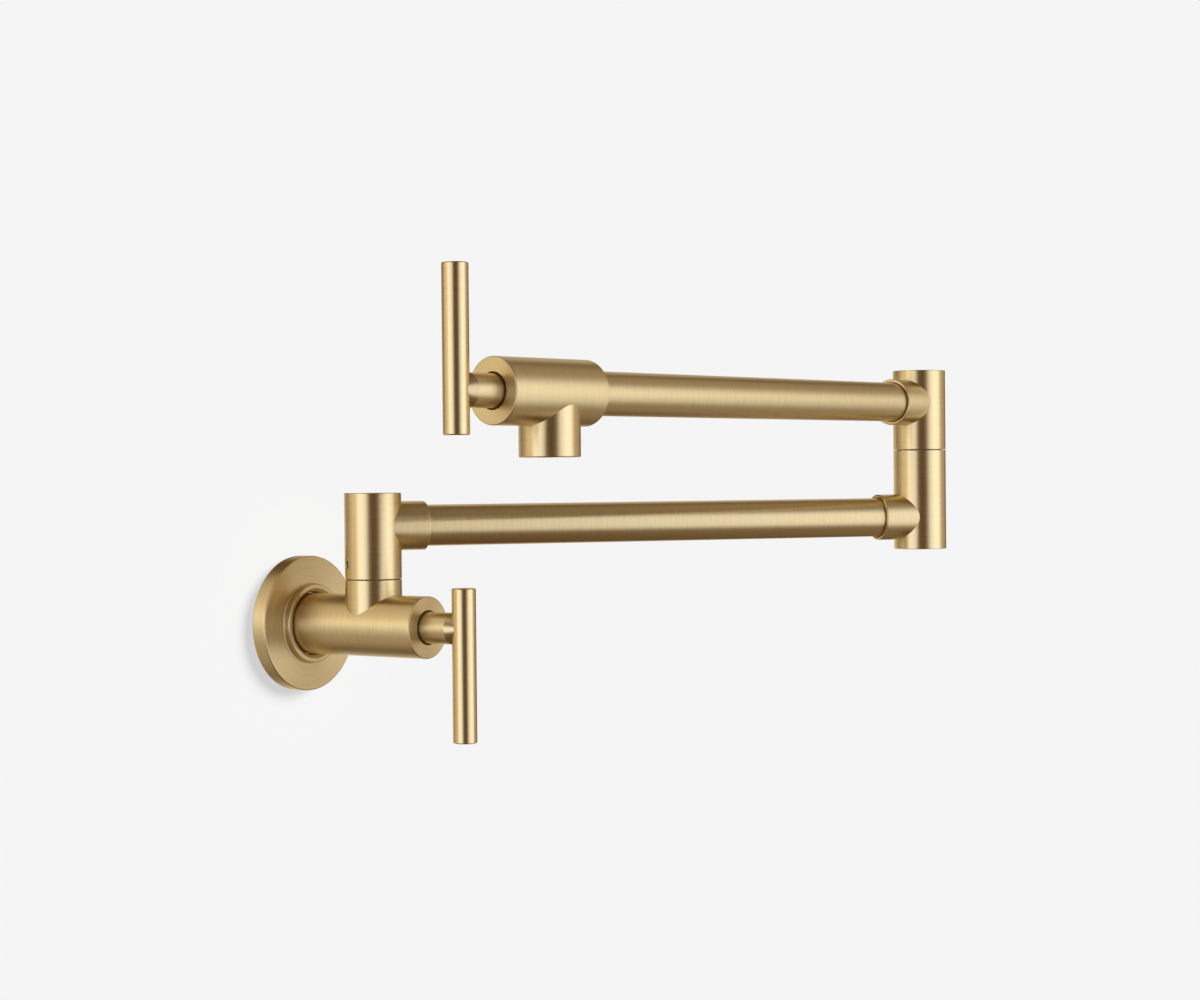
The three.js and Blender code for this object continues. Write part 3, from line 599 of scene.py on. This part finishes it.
def handle_hub(name, where):
    hub = turned(name, [
        (HUB_RADIUS, -HUB_INSET),
        (HUB_RADIUS, HUB_TAPER_START),
        (HUB_TAPER_END_RADIUS, BAR_FROM_FACE),
    ])
    placed(unroll(break_edges(hub, HUB_EDGE)), where)
    drill(hub, "saddle_mill", across_hub(where), [
        (BAR_RADIUS + SADDLE_GAP, -MILL_HALF),
        (BAR_RADIUS + SADDLE_GAP, MILL_HALF),
    ])
    drill(hub, "stem_hole", where, [
        (STEM_HOLE, -HUB_INSET - PAST),
        (STEM_HOLE, STEM_HOLE_END),
    ], sides=SCREW_SIDES)
    screw_place = where @ moved(0, 0, HUB_SCREW_FROM_FACE) @ OUT_OF_WALL
    drill(hub, "screw_hole", screw_place, [
        (HUB_SCREW_HOLE, 0),
        (HUB_SCREW_HOLE, HUB_RADIUS + PAST),
    ], sides=SCREW_SIDES)
    screw = grub_screw(name + "_screw", screw_place, HUB_SCREW_RADIUS, HUB_SCREW_TIP, HUB_SCREW_FACE)
    return smooth(hub), screw


lower_hub, lower_hub_screw = handle_hub("lower_hub", LOWER_FACE)
upper_hub, upper_hub_screw = handle_hub("upper_hub", UPPER_FACE)

# %% [markdown]
# A bar is a plain turned pin with both rims broken. A cylinder primitive would do for its form, but turned
# like the rest it has the same map for its brushing. One profile serves both, and only the ends change
# places.

# %% Handle bars
BAR_LONG_END = 50.7
BAR_SHORT_END = 18.1
BAR_EDGE = 0.6


def handle_bar(name, where, low, high):
    bar = turned(name, [(BAR_RADIUS, low), (BAR_RADIUS, high)])
    return placed(smooth(unroll(break_edges(bar, BAR_EDGE))), across_hub(where))


lower_bar = handle_bar("lower_bar", LOWER_FACE, -BAR_LONG_END, BAR_SHORT_END)
upper_bar = handle_bar("upper_bar", UPPER_FACE, -BAR_SHORT_END, BAR_LONG_END)

# %% [markdown]
# Behind the wall the tap screws onto its supply with a half inch pipe thread. The thread is one tooth that
# climbs round the nipple: a flat square is narrowed to the shape of the tooth, and a Screw modifier winds it
# up by one pitch a turn. A last cut with a chamfered outline leaves the thin start that a real thread has.

# %% Thread tooth
THREAD_PITCH = 1.814
THREAD_TURNS = 14
THREAD_START = -24.5
NIPPLE_RADIUS = 10.45
TOOTH_FOOT = 9.1
TOOTH_HALF_WIDTH = 0.84
TOOTH_CREST_SHARE = 0.16
NIPPLE_SIDES = 64

bpy.ops.object.select_all(action="DESELECT")
tooth_middle = (TOOTH_FOOT + NIPPLE_RADIUS) / 2
bpy.ops.mesh.primitive_plane_add(
    size=1, rotation=(math.pi / 2, 0, 0), location=(tooth_middle * MM, 0, THREAD_START * MM))
tooth = bpy.context.object
tooth.name = "thread_tooth"
tooth.scale = ((NIPPLE_RADIUS - TOOTH_FOOT) * MM, 2 * TOOTH_HALF_WIDTH * MM, 1)
bpy.ops.object.transform_apply(location=True, rotation=True, scale=True)
for point in tooth.data.vertices:
    point.select = point.co.x > tooth_middle * MM
for edge in tooth.data.edges:
    edge.select = all(tooth.data.vertices[end].select for end in edge.vertices)
bpy.ops.object.mode_set(mode="EDIT")
bpy.ops.transform.resize(value=(1, 1, TOOTH_CREST_SHARE), center_override=(0, 0, THREAD_START * MM))
bpy.ops.mesh.select_all(action="SELECT")
bpy.ops.mesh.delete(type="ONLY_FACE")
bpy.ops.object.mode_set(mode="OBJECT")
winding = tooth.modifiers.new("winding", "SCREW")
winding.screw_offset = THREAD_PITCH * MM
winding.iterations = THREAD_TURNS
winding.steps = winding.render_steps = NIPPLE_SIDES
winding.use_smooth_shade = False
bpy.ops.object.modifier_apply(modifier=winding.name)
bpy.ops.object.mode_set(mode="EDIT")
bpy.ops.mesh.select_all(action="DESELECT")
bpy.ops.mesh.select_non_manifold()
bpy.ops.mesh.edge_face_add()
bpy.ops.mesh.select_all(action="SELECT")
bpy.ops.mesh.normals_make_consistent(inside=False)
bpy.ops.object.mode_set(mode="OBJECT")
count(tooth)

# %% [markdown]
# The nipple is a turned tube with a thinner length for the thread. The wound tooth is first cut back to the
# chamfered outline and then joined to the tube, so the crests are flat and the first turn runs out.

# %% Inlet nipple
NIPPLE_BORE = 7.3
NIPPLE_END = -22
NIPPLE_SHANK = 20
NIPPLE_CHAMFER = 1.2
THREAD_ROOT = 9.3
THREAD_STOP = 1

nipple = turned("threaded_nipple", [
    (NIPPLE_BORE, NIPPLE_END),
    (THREAD_ROOT, NIPPLE_END),
    (THREAD_ROOT, THREAD_STOP),
    (NIPPLE_RADIUS, THREAD_STOP),
    (NIPPLE_RADIUS, NIPPLE_SHANK),
    (NIPPLE_BORE, NIPPLE_SHANK),
], hollow=True, sides=NIPPLE_SIDES)
outline = turned("nipple_outline", [
    (NIPPLE_RADIUS - NIPPLE_CHAMFER, NIPPLE_END),
    (NIPPLE_RADIUS, NIPPLE_END + NIPPLE_CHAMFER),
    (NIPPLE_RADIUS, THREAD_STOP),
], sides=NIPPLE_SIDES)
combined(tooth, outline, "INTERSECT")
combined(nipple, tooth, "UNION")
placed(smooth(unroll(nipple)), OUT_OF_WALL)

# %% [markdown]
# Inside the spout sits the aerator, which mixes air into the stream. Its ring is fluted inside, so that a
# key can turn it. The flutes could be drawn into one outline, but here one round cutter is made and copied,
# and the copies stand in a circle and are taken out of the turned ring in one cut.

# %% Aerator ring
RING_RADIUS = 10.6
RING_BOTTOM = 76.65
RING_TOP = 86.1
RING_BORE = 8.8
RING_LIP_BORE = 7.9
RING_LIP_TOP = 77.85
FLUTES = 24
FLUTE_RADIUS = 0.55
FLUTE_SIDES = 12
RING_EDGE = 0.2
RING_EDGE_STEPS = 2

aerator_ring = turned("aerator_ring", [
    (RING_LIP_BORE, RING_BOTTOM),
    (RING_RADIUS, RING_BOTTOM),
    (RING_RADIUS, RING_TOP),
    (RING_BORE, RING_TOP),
    (RING_BORE, RING_LIP_TOP),
    (RING_LIP_BORE, RING_LIP_TOP),
], hollow=True)
break_edges(aerator_ring, RING_EDGE, steps=RING_EDGE_STEPS)
flutes = [turned("flute", [
    (FLUTE_RADIUS, RING_BOTTOM - PAST),
    (FLUTE_RADIUS, RING_LIP_TOP + PAST),
], sides=FLUTE_SIDES)]
while len(flutes) < FLUTES:
    only(flutes[0])
    bpy.ops.object.duplicate()
    flutes.append(bpy.context.object)
for number, flute in enumerate(flutes):
    round_ring = Matrix.Rotation(2 * math.pi * number / FLUTES, 4, "Z")
    placed(flute, round_ring @ moved(RING_LIP_BORE, 0, 0))
only(flutes[0])
for flute in flutes:
    flute.select_set(True)
bpy.ops.object.join()
combined(aerator_ring, flutes[0], "DIFFERENCE")
placed(smooth(unroll(aerator_ring)), SPOUT)

# %% [markdown]
# The aerator's face is a fine square mesh of moulded plastic, 1.4 mm from wire to wire. It could be woven
# from curves, but moulded wires are square and lie in one sheet. So a grid's faces are inset one by one and
# deleted, which leaves the wires, a Solidify modifier gives them their thickness, and a disc cuts the square
# sheet round.

# %% Aerator mesh
MESH_RADIUS = 8.6
MESH_HEIGHT = 78.2
MESH_ROWS = 13
MESH_PITCH = 1.4
MESH_WIRE = 0.45
MESH_THICKNESS = 0.5

bpy.ops.object.select_all(action="DESELECT")
bpy.ops.mesh.primitive_grid_add(
    x_subdivisions=MESH_ROWS, y_subdivisions=MESH_ROWS, size=MESH_ROWS * MESH_PITCH * MM,
    location=(0, 0, MESH_HEIGHT * MM))
aerator_mesh = bpy.context.object
aerator_mesh.name = aerator_mesh.data.name = "aerator_mesh"
bpy.ops.object.transform_apply(location=True, rotation=False, scale=False)
bpy.ops.object.mode_set(mode="EDIT")
bpy.ops.mesh.select_all(action="SELECT")
bpy.ops.mesh.inset(thickness=MESH_WIRE / 2 * MM, use_individual=True)
bpy.ops.mesh.delete(type="FACE")
bpy.ops.object.mode_set(mode="OBJECT")
wires = aerator_mesh.modifiers.new("wires", "SOLIDIFY")
wires.thickness = MESH_THICKNESS * MM
wires.offset = 1
bpy.ops.object.modifier_apply(modifier=wires.name)
mesh_disc = turned("mesh_disc", [
    (MESH_RADIUS, MESH_HEIGHT - PAST),
    (MESH_RADIUS, MESH_HEIGHT + PAST),
])
combined(aerator_mesh, mesh_disc, "INTERSECT")
placed(smooth(aerator_mesh), SPOUT)

# %% [markdown]
# Colours are given as sRGB hex values, as a colour picker shows them, and one function turns them into the
# linear numbers that the shader wants. Another adds a node, sets its inputs and links them, so that each
# material below reads as a short list.

# %% Colour and nodes
SRGB_KNEE = 0.04045
SRGB_SLOPE = 12.92
SRGB_OFFSET = 0.055
SRGB_POWER = 2.4


def linear(hex_value):
    channels = [int(hex_value[i:i + 2], 16) / 255 for i in (1, 3, 5)]
    return [
        c / SRGB_SLOPE if c <= SRGB_KNEE else ((c + SRGB_OFFSET) / (1 + SRGB_OFFSET)) ** SRGB_POWER
        for c in channels
    ] + [1]


def add_node(tree, kind, inputs=(), **settings):
    node = tree.nodes.new(kind)
    for name, value in settings.items():
        setattr(node, name, value)
    for socket, value in dict(inputs).items():
        if isinstance(value, bpy.types.NodeSocket):
            tree.links.new(value, node.inputs[socket])
        else:
            node.inputs[socket].default_value = value
    return node


def new_material(name):
    material = bpy.data.materials.new(name)
    material.use_nodes = True
    material.node_tree.nodes.clear()
    return material, material.node_tree


# %% [markdown]
# Everything that shows is brass with a satin finish. A fine abrasive brush is held against the piece while
# it spins, and leaves hair lines round the axis. Along the lines the metal stays fairly glossy, so the dark
# and bright bands of the studio stand sharp round each cylinder. Across the lines it is rough, so the bands
# run the whole length of the cylinder, and on a flat end they open into fans. The shader's anisotropy does
# that, with its tangent taken from the unrolled UV map and turned a quarter, across the lines. The lines
# themselves are noise that is stretched round the axis. Real ones are about 0.1 mm apart, which is finer
# than a pixel, so they are drawn about 0.4 mm apart.

# %% Satin brushed brass
LINE_SPACING = 0.4
LINE_LENGTH = 0.7
LINE_DETAIL = 5.0
LINE_UNEVENNESS = 0.6
LINE_LOW = 0.3
LINE_HIGH = 0.7
LINE_RELIEF = 0.05
RELIEF_DEPTH = 0.2
BRASS_DEEP = "#E4CB94"
BRASS_PALE = "#EFDAA6"
BRASS_GLOSSIEST = 0.31
BRASS_DULLEST = 0.36
BRUSHED_ONE_WAY = 0.62
ACROSS_THE_LINES = 0.25


def satin_brass():
    material, tree = new_material("satin_brushed_brass")
    place = add_node(tree, "ShaderNodeUVMap", uv_map=ROUND)
    split = add_node(tree, "ShaderNodeSeparateXYZ", {0: place.outputs["UV"]})
    angle = add_node(tree, "ShaderNodeMath", {
        0: split.outputs["X"], 1: 2 * math.pi,
    }, operation="MULTIPLY")
    across = add_node(tree, "ShaderNodeMath", {0: angle.outputs[0]}, operation="COSINE")
    over = add_node(tree, "ShaderNodeMath", {0: angle.outputs[0]}, operation="SINE")
    ring = add_node(tree, "ShaderNodeCombineXYZ", {
        0: across.outputs[0], 1: over.outputs[0], 2: split.outputs["Y"],
    })
    stretch = add_node(tree, "ShaderNodeMapping", {
        0: ring.outputs[0], "Scale": (1 / LINE_LENGTH, 1 / LINE_LENGTH, 1 / LINE_SPACING),
    })
    lines = add_node(tree, "ShaderNodeTexNoise", {
        "Vector": stretch.outputs[0], "Scale": 1.0, "Detail": LINE_DETAIL, "Roughness": LINE_UNEVENNESS,
    })
    tone = add_node(tree, "ShaderNodeMapRange", {0: lines.outputs[0], 1: LINE_LOW, 2: LINE_HIGH})
    colour = add_node(tree, "ShaderNodeMix", {
        "Factor": tone.outputs[0], "A": linear(BRASS_DEEP), "B": linear(BRASS_PALE),
    }, data_type="RGBA")
    gloss = add_node(tree, "ShaderNodeMapRange", {
        0: lines.outputs[0], 1: LINE_LOW, 2: LINE_HIGH, 3: BRASS_GLOSSIEST, 4: BRASS_DULLEST,
    })
    relief = add_node(tree, "ShaderNodeBump", {
        "Height": lines.outputs[0], "Strength": LINE_RELIEF, "Distance": RELIEF_DEPTH * MM,
    })
    grain = add_node(tree, "ShaderNodeTangent", direction_type="UV_MAP", uv_map=ROUND)
    shader = add_node(tree, "ShaderNodeBsdfPrincipled", {
        "Base Color": colour.outputs["Result"],
        "Metallic": 1.0,
        "Roughness": gloss.outputs[0],
        "Anisotropic": BRUSHED_ONE_WAY,
        "Anisotropic Rotation": ACROSS_THE_LINES,
        "Tangent": grain.outputs[0],
        "Normal": relief.outputs[0],
    })
    add_node(tree, "ShaderNodeOutputMaterial", {"Surface": shader.outputs[0]})
    return material


# %% [markdown]
# The inner pieces show only through gaps and from behind. Bare machined brass, drawn stainless steel, black
# nitrile rubber, ground alumina ceramic and moulded acetal each have a fine grain with no direction, so one
# recipe serves them all: noise of the grain's real size moves colour, gloss and relief a little. It is given
# two colours, how metallic the stuff is, its least and greatest roughness, and the grain in millimetres.

# %% Inner materials
GRAIN_DETAIL = 4.0
GRAIN_RELIEF = 0.1


def grained(name, low, high, metallic, smoothest, roughest, grain_size):
    material, tree = new_material(name)
    place = add_node(tree, "ShaderNodeTexCoord")
    grain = add_node(tree, "ShaderNodeTexNoise", {
        "Vector": place.outputs["Object"], "Scale": 1 / (grain_size * MM), "Detail": GRAIN_DETAIL,
    })
    colour = add_node(tree, "ShaderNodeMix", {
        "Factor": grain.outputs[0], "A": linear(low), "B": linear(high),
    }, data_type="RGBA")
    gloss = add_node(tree, "ShaderNodeMapRange", {0: grain.outputs[0], 3: smoothest, 4: roughest})
    relief = add_node(tree, "ShaderNodeBump", {
        "Height": grain.outputs[0], "Strength": GRAIN_RELIEF, "Distance": RELIEF_DEPTH * MM,
    })
    shader = add_node(tree, "ShaderNodeBsdfPrincipled", {
        "Base Color": colour.outputs["Result"],
        "Metallic": metallic,
        "Roughness": gloss.outputs[0],
        "Normal": relief.outputs[0],
    })
    add_node(tree, "ShaderNodeOutputMaterial", {"Surface": shader.outputs[0]})
    return material


FINISHES = {
    # Brushed while it spins: bands that stand sharp round the piece and soft along it.
    "satin_brass": satin_brass(),
    # Left as the cutting tool leaves it: yellower and glossier than the brushed pieces.
    "raw_brass": grained("machined_brass", "#B08D4A", "#C7A35E", 1.0, 0.28, 0.4, 0.6),
    # Drawn and tumbled: a small bright glint in the screw holes.
    "steel": grained("stainless_steel", "#B4B5B8", "#CDCED1", 1.0, 0.14, 0.24, 0.5),
    # Moulded rubber with talc: nearly black, with a broad dull sheen.
    "rubber": grained("nitrile_rubber", "#141414", "#1D1D1E", 0.0, 0.6, 0.8, 0.3),
    # Ground flat and lapped: white and close to polished.
    "ceramic": grained("alumina_ceramic", "#E9E6DC", "#F3F1EA", 0.0, 0.15, 0.25, 0.4),
    # Moulded plastic: off-white and half matt.
    "acetal": grained("moulded_acetal", "#DAD8D2", "#E6E4DE", 0.0, 0.35, 0.5, 0.4),
}


def wear(piece, finish):
    piece.data.materials.clear()
    piece.data.materials.append(FINISHES[finish])


for entry in frame["record"]["subparts"]:
    wear(frame["nodes"][entry["node"]], entry["material_slot"])

# %% [markdown]
# Each new piece rides on the body that carries it, so it moves when that joint turns. It stands in for its
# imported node, and names the slot of the record that its finish comes from.

# %% Ride, replace and finish
STANDS_FOR = [
    (wall_plate, "wall_valve", "escutcheon", "satin_brass"),
    (wall_valve, "wall_valve", "valve_body", "satin_brass"),
    (nipple, "wall_valve", "inlet_nipple", "raw_brass"),
    (lower_hub, "lower_handle", "lower_handle_hub", "satin_brass"),
    (lower_bar, "lower_handle", "lower_handle_bar", "satin_brass"),
    (lower_hub_screw, "lower_handle", "lower_handle_set_screw", "steel"),
    (turning_post, "lower_arm", "swivel_post", "satin_brass"),
    (post_screw, "lower_arm", "swivel_post_set_screw", "steel"),
    (lower_tube, "lower_arm", "lower_arm_tube", "satin_brass"),
    (standing_knuckle, "lower_arm", "lower_knuckle", "satin_brass"),
    (turning_knuckle, "upper_arm", "upper_knuckle", "satin_brass"),
    (knuckle_screw, "upper_arm", "upper_knuckle_set_screw", "steel"),
    (upper_tube, "upper_arm", "upper_arm_tube", "satin_brass"),
    (outlet, "upper_arm", "outlet_body", "satin_brass"),
    (aerator_ring, "upper_arm", "aerator_housing", "satin_brass"),
    (aerator_mesh, "upper_arm", "aerator_screen", "acetal"),
    (upper_hub, "upper_handle", "upper_handle_hub", "satin_brass"),
    (upper_bar, "upper_handle", "upper_handle_bar", "satin_brass"),
    (upper_hub_screw, "upper_handle", "upper_handle_set_screw", "steel"),
]
for piece, body, node, finish in STANDS_FOR:
    wear(piece, finish)
    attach(piece, body)
    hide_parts(node)
print(len(STANDS_FOR), "new pieces stand for packed ones")

# %% [markdown]
# The tap hangs on a pale wall over a pale floor. Both glow as well as taking light, because the photograph
# has one even tone behind the tap, and the glow makes up what the wall wash leaves to that tone. The paint
# is dark and its wash strong, so that the light the brass throws back on the wall doesn't show.

# %% Wall and floor paint
BACKDROP = 0.913
PAINT = 0.1
WASH_FROM = Vector((0.75, -1, 0.45))
WASH_ENERGY = 12.3


def painted(name, facing):
    wash_light = PAINT / math.pi * WASH_ENERGY * WASH_FROM.normalized().dot(facing)
    material, tree = new_material(name)
    paint = add_node(tree, "ShaderNodeBsdfDiffuse", {"Color": (PAINT, PAINT, PAINT, 1)})
    light = add_node(tree, "ShaderNodeEmission", {"Strength": BACKDROP - wash_light})
    both = add_node(tree, "ShaderNodeAddShader", {0: paint.outputs[0], 1: light.outputs[0]})
    surface = add_node(tree, "ShaderNodeOutputMaterial", {"Surface": both.outputs[0]})
    return material, tree, both, surface


# %% [markdown]
# The wall is a round patch behind the plate, big enough for its shadow. It fades into the backdrop and is
# see-through from behind, so an arm that is turned past the wall stays in view, where a whole wall would
# hide it. The sizes of the stage and the places of its lights are in metres.

# %% Fade of the wall
WALL_FULL = 0.05
WALL_GONE = 0.07


def fade_out(tree, both, surface):
    place = add_node(tree, "ShaderNodeTexCoord")
    away = add_node(tree, "ShaderNodeVectorMath", {0: place.outputs["Object"]}, operation="LENGTH")
    fade = add_node(tree, "ShaderNodeMapRange", {
        0: away.outputs["Value"], 1: WALL_FULL, 2: WALL_GONE,
    }, interpolation_type="SMOOTHSTEP")
    face = add_node(tree, "ShaderNodeNewGeometry")
    hidden = add_node(tree, "ShaderNodeMath", {
        0: fade.outputs[0], 1: face.outputs["Backfacing"],
    }, operation="MAXIMUM")
    clear = add_node(tree, "ShaderNodeBsdfTransparent")
    patch = add_node(tree, "ShaderNodeMixShader", {
        0: hidden.outputs[0], 1: both.outputs[0], 2: clear.outputs[0],
    })
    tree.links.new(patch.outputs[0], surface.inputs["Surface"])


# %% [markdown]
# Both planes are stage, not part of the tap. They throw no shadow, and the brass neither mirrors them nor
# takes light from them, so that only the panels below decide what it shows.

# %% Wall and floor
WALL_PLACE = (0, 0.0005, 0)
UPRIGHT = (math.pi / 2, 0, 0)
FLOOR_PLACE = (0, 0, -0.55)
FLOOR_SIZE = 12
FLAT = (0, 0, 0)
OUTWARDS = Vector((0, -1, 0))
UPWARDS = Vector((0, 0, 1))


def stage_plane(name, size, place, rotation, material):
    bpy.ops.object.select_all(action="DESELECT")
    bpy.ops.mesh.primitive_plane_add(size=size, location=place, rotation=rotation)
    plane = bpy.context.object
    plane.name = name
    plane.data.materials.append(material)
    plane.visible_glossy = False
    plane.visible_diffuse = False
    plane.visible_shadow = False
    return plane


wall_paint, *wall_nodes = painted("painted_wall", OUTWARDS)
fade_out(*wall_nodes)
floor_paint = painted("pale_floor", UPWARDS)[0]
wall = stage_plane("wall", 2 * WALL_GONE, WALL_PLACE, UPRIGHT, wall_paint)
floor = stage_plane("floor", FLOOR_SIZE, FLOOR_PLACE, FLAT, floor_paint)
print("wall patch", 2 * WALL_GONE, "m and floor", FLOOR_SIZE, "m wide")

# %% [markdown]
# Metal shows what stands around it, so its light was read from the photograph. Every upright post shows two
# bright bands with a dark gap between them, and every arm shows one band above its middle: these are two
# large softboxes to the left and right of the camera. Dimmer panels stand beside, above and behind. The
# panels light the tap alone, by light linking, and one wide sun lights the wall, where only the plate throws
# a shadow.

# %% Who takes which light
stage_only = bpy.data.collections.new("stage_only")
tap_only = bpy.data.collections.new("tap_only")
plate_shadow = bpy.data.collections.new("plate_shadow")
for plane in (wall, floor):
    stage_only.objects.link(plane)
    tap_only.objects.link(plane)
for member in tap_only.collection_objects:
    member.light_linking.link_state = "EXCLUDE"
plate_shadow.objects.link(wall_plate)

# %% [markdown]
# A softbox is brightest in its middle and falls off to its edges. An area light's own coordinates run from
# zero to one across it, so the distance from the nearer edge fades its strength smoothly.

# %% Soft edges
HALF_ACROSS = 0.5
EDGE_FADE = 0.35


def soft_edges(lamp):
    lamp.use_nodes = True
    tree = lamp.node_tree
    tree.nodes.clear()
    place = add_node(tree, "ShaderNodeNewGeometry")
    split = add_node(tree, "ShaderNodeSeparateXYZ", {0: place.outputs["Parametric"]})
    fades = []
    for way in ("X", "Y"):
        from_edge = add_node(tree, "ShaderNodeMath", {
            0: split.outputs[way], 1: HALF_ACROSS,
        }, operation="PINGPONG")
        fades.append(add_node(tree, "ShaderNodeMapRange", {
            0: from_edge.outputs[0], 2: EDGE_FADE,
        }, interpolation_type="SMOOTHSTEP"))
    both = add_node(tree, "ShaderNodeMath", {
        0: fades[0].outputs[0], 1: fades[1].outputs[0],
    }, operation="MULTIPLY")
    glow = add_node(tree, "ShaderNodeEmission", {"Strength": both.outputs[0]})
    add_node(tree, "ShaderNodeOutputLight", {0: glow.outputs[0]})


# %% [markdown]
# Each panel is given as the tap sees it: how many degrees it stands to the right of the camera and above
# level, how many degrees wide and tall it looks, how strongly it glows, and its tint. All stand at the same
# distance, and an area lamp needs four watts a square metre for each unit of glow.

# %% Softboxes and panels
TARGET = Vector((0.09, -0.12, 0.06))
FAR = 4.0
TO_CAMERA = -Vector((ahead.x, ahead.y, 0)).normalized()
TO_RIGHT = Vector((level.x, level.y, 0)).normalized()
WATTS_FOR_GLOW = 4
COOL = "#E1EAFF"
WARM = "#FFF9ED"


def light_panel(name, bearing, rise, wide, tall, glow, tint):
    side, lift = math.radians(bearing), math.radians(rise)
    flat_way = TO_CAMERA * math.cos(side) + TO_RIGHT * math.sin(side)
    place = TARGET + FAR * (flat_way * math.cos(lift) + UPWARDS * math.sin(lift))
    bpy.ops.object.light_add(type="AREA", location=place)
    lamp = bpy.context.object
    lamp.name = name
    lamp.rotation_euler = (TARGET - place).to_track_quat("-Z", "Y").to_euler()
    lamp.data.shape = "RECTANGLE"
    lamp.data.size = 2 * FAR * math.tan(math.radians(wide / 2))
    lamp.data.size_y = 2 * FAR * math.tan(math.radians(tall / 2))
    lamp.data.color = linear(tint)[:3]
    lamp.data.energy = WATTS_FOR_GLOW * glow * lamp.data.size * lamp.data.size_y
    lamp.visible_camera = False
    lamp.light_linking.receiver_collection = tap_only
    soft_edges(lamp.data)
    print(name, round(lamp.data.size, 2), "by", round(lamp.data.size_y, 2), "m")


light_panel("left_softbox", -39, -3, 61, 59, 1.45, COOL)
light_panel("right_softbox", 64, -1, 84, 92, 1.13, COOL)
light_panel("right_softbox_edge", 66, 21, 26, 76, 0.3, COOL)
light_panel("left_side_panel", -89, -15, 93, 100, 0.27, WARM)
light_panel("left_high_panel", -74, 36, 71, 100, 0.54, WARM)
light_panel("left_rear_panel", -154, -18, 66, 62, 0.6, WARM)
light_panel("rear_panel", 177, 11, 46, 94, 0.45, WARM)
light_panel("right_high_panel", 107, 32, 76, 97, 0.22, WARM)
light_panel("right_low_panel", 107, -24, 105, 100, 0.17, WARM)

# %% [markdown]
# The wash is a sun, because every wall point then has the same light and only the plate's soft shadow
# changes it. The room itself gives the brass a dim warm tone in the gaps between the panels.

# %% Wall wash and room
WASH_ANGLE = math.radians(34)
BACKDROP_TONE = (BACKDROP, BACKDROP, BACKDROP, 1)
ROOM_TONE = (0.11, 0.064, 0.031, 1)

bpy.ops.object.light_add(type="SUN")
wash = bpy.context.object
wash.name = "wall_wash"
wash.rotation_euler = (-WASH_FROM).to_track_quat("-Z", "Y").to_euler()
wash.data.energy = WASH_ENERGY
wash.data.angle = WASH_ANGLE
wash.light_linking.receiver_collection = stage_only
wash.light_linking.blocker_collection = plate_shadow

world = bpy.data.worlds.new("studio")
bpy.context.scene.world = world
world.use_nodes = True
world.node_tree.nodes.clear()
world.cycles_visibility.diffuse = False
ray = add_node(world.node_tree, "ShaderNodeLightPath")
room = add_node(world.node_tree, "ShaderNodeMix", {
    "Factor": ray.outputs["Is Camera Ray"], "A": ROOM_TONE, "B": BACKDROP_TONE,
}, data_type="RGBA")
sky = add_node(world.node_tree, "ShaderNodeBackground", {"Color": room.outputs["Result"]})
add_node(world.node_tree, "ShaderNodeOutputWorld", {"Surface": sky.outputs[0]})
bpy.context.scene.view_settings.view_transform = "Standard"
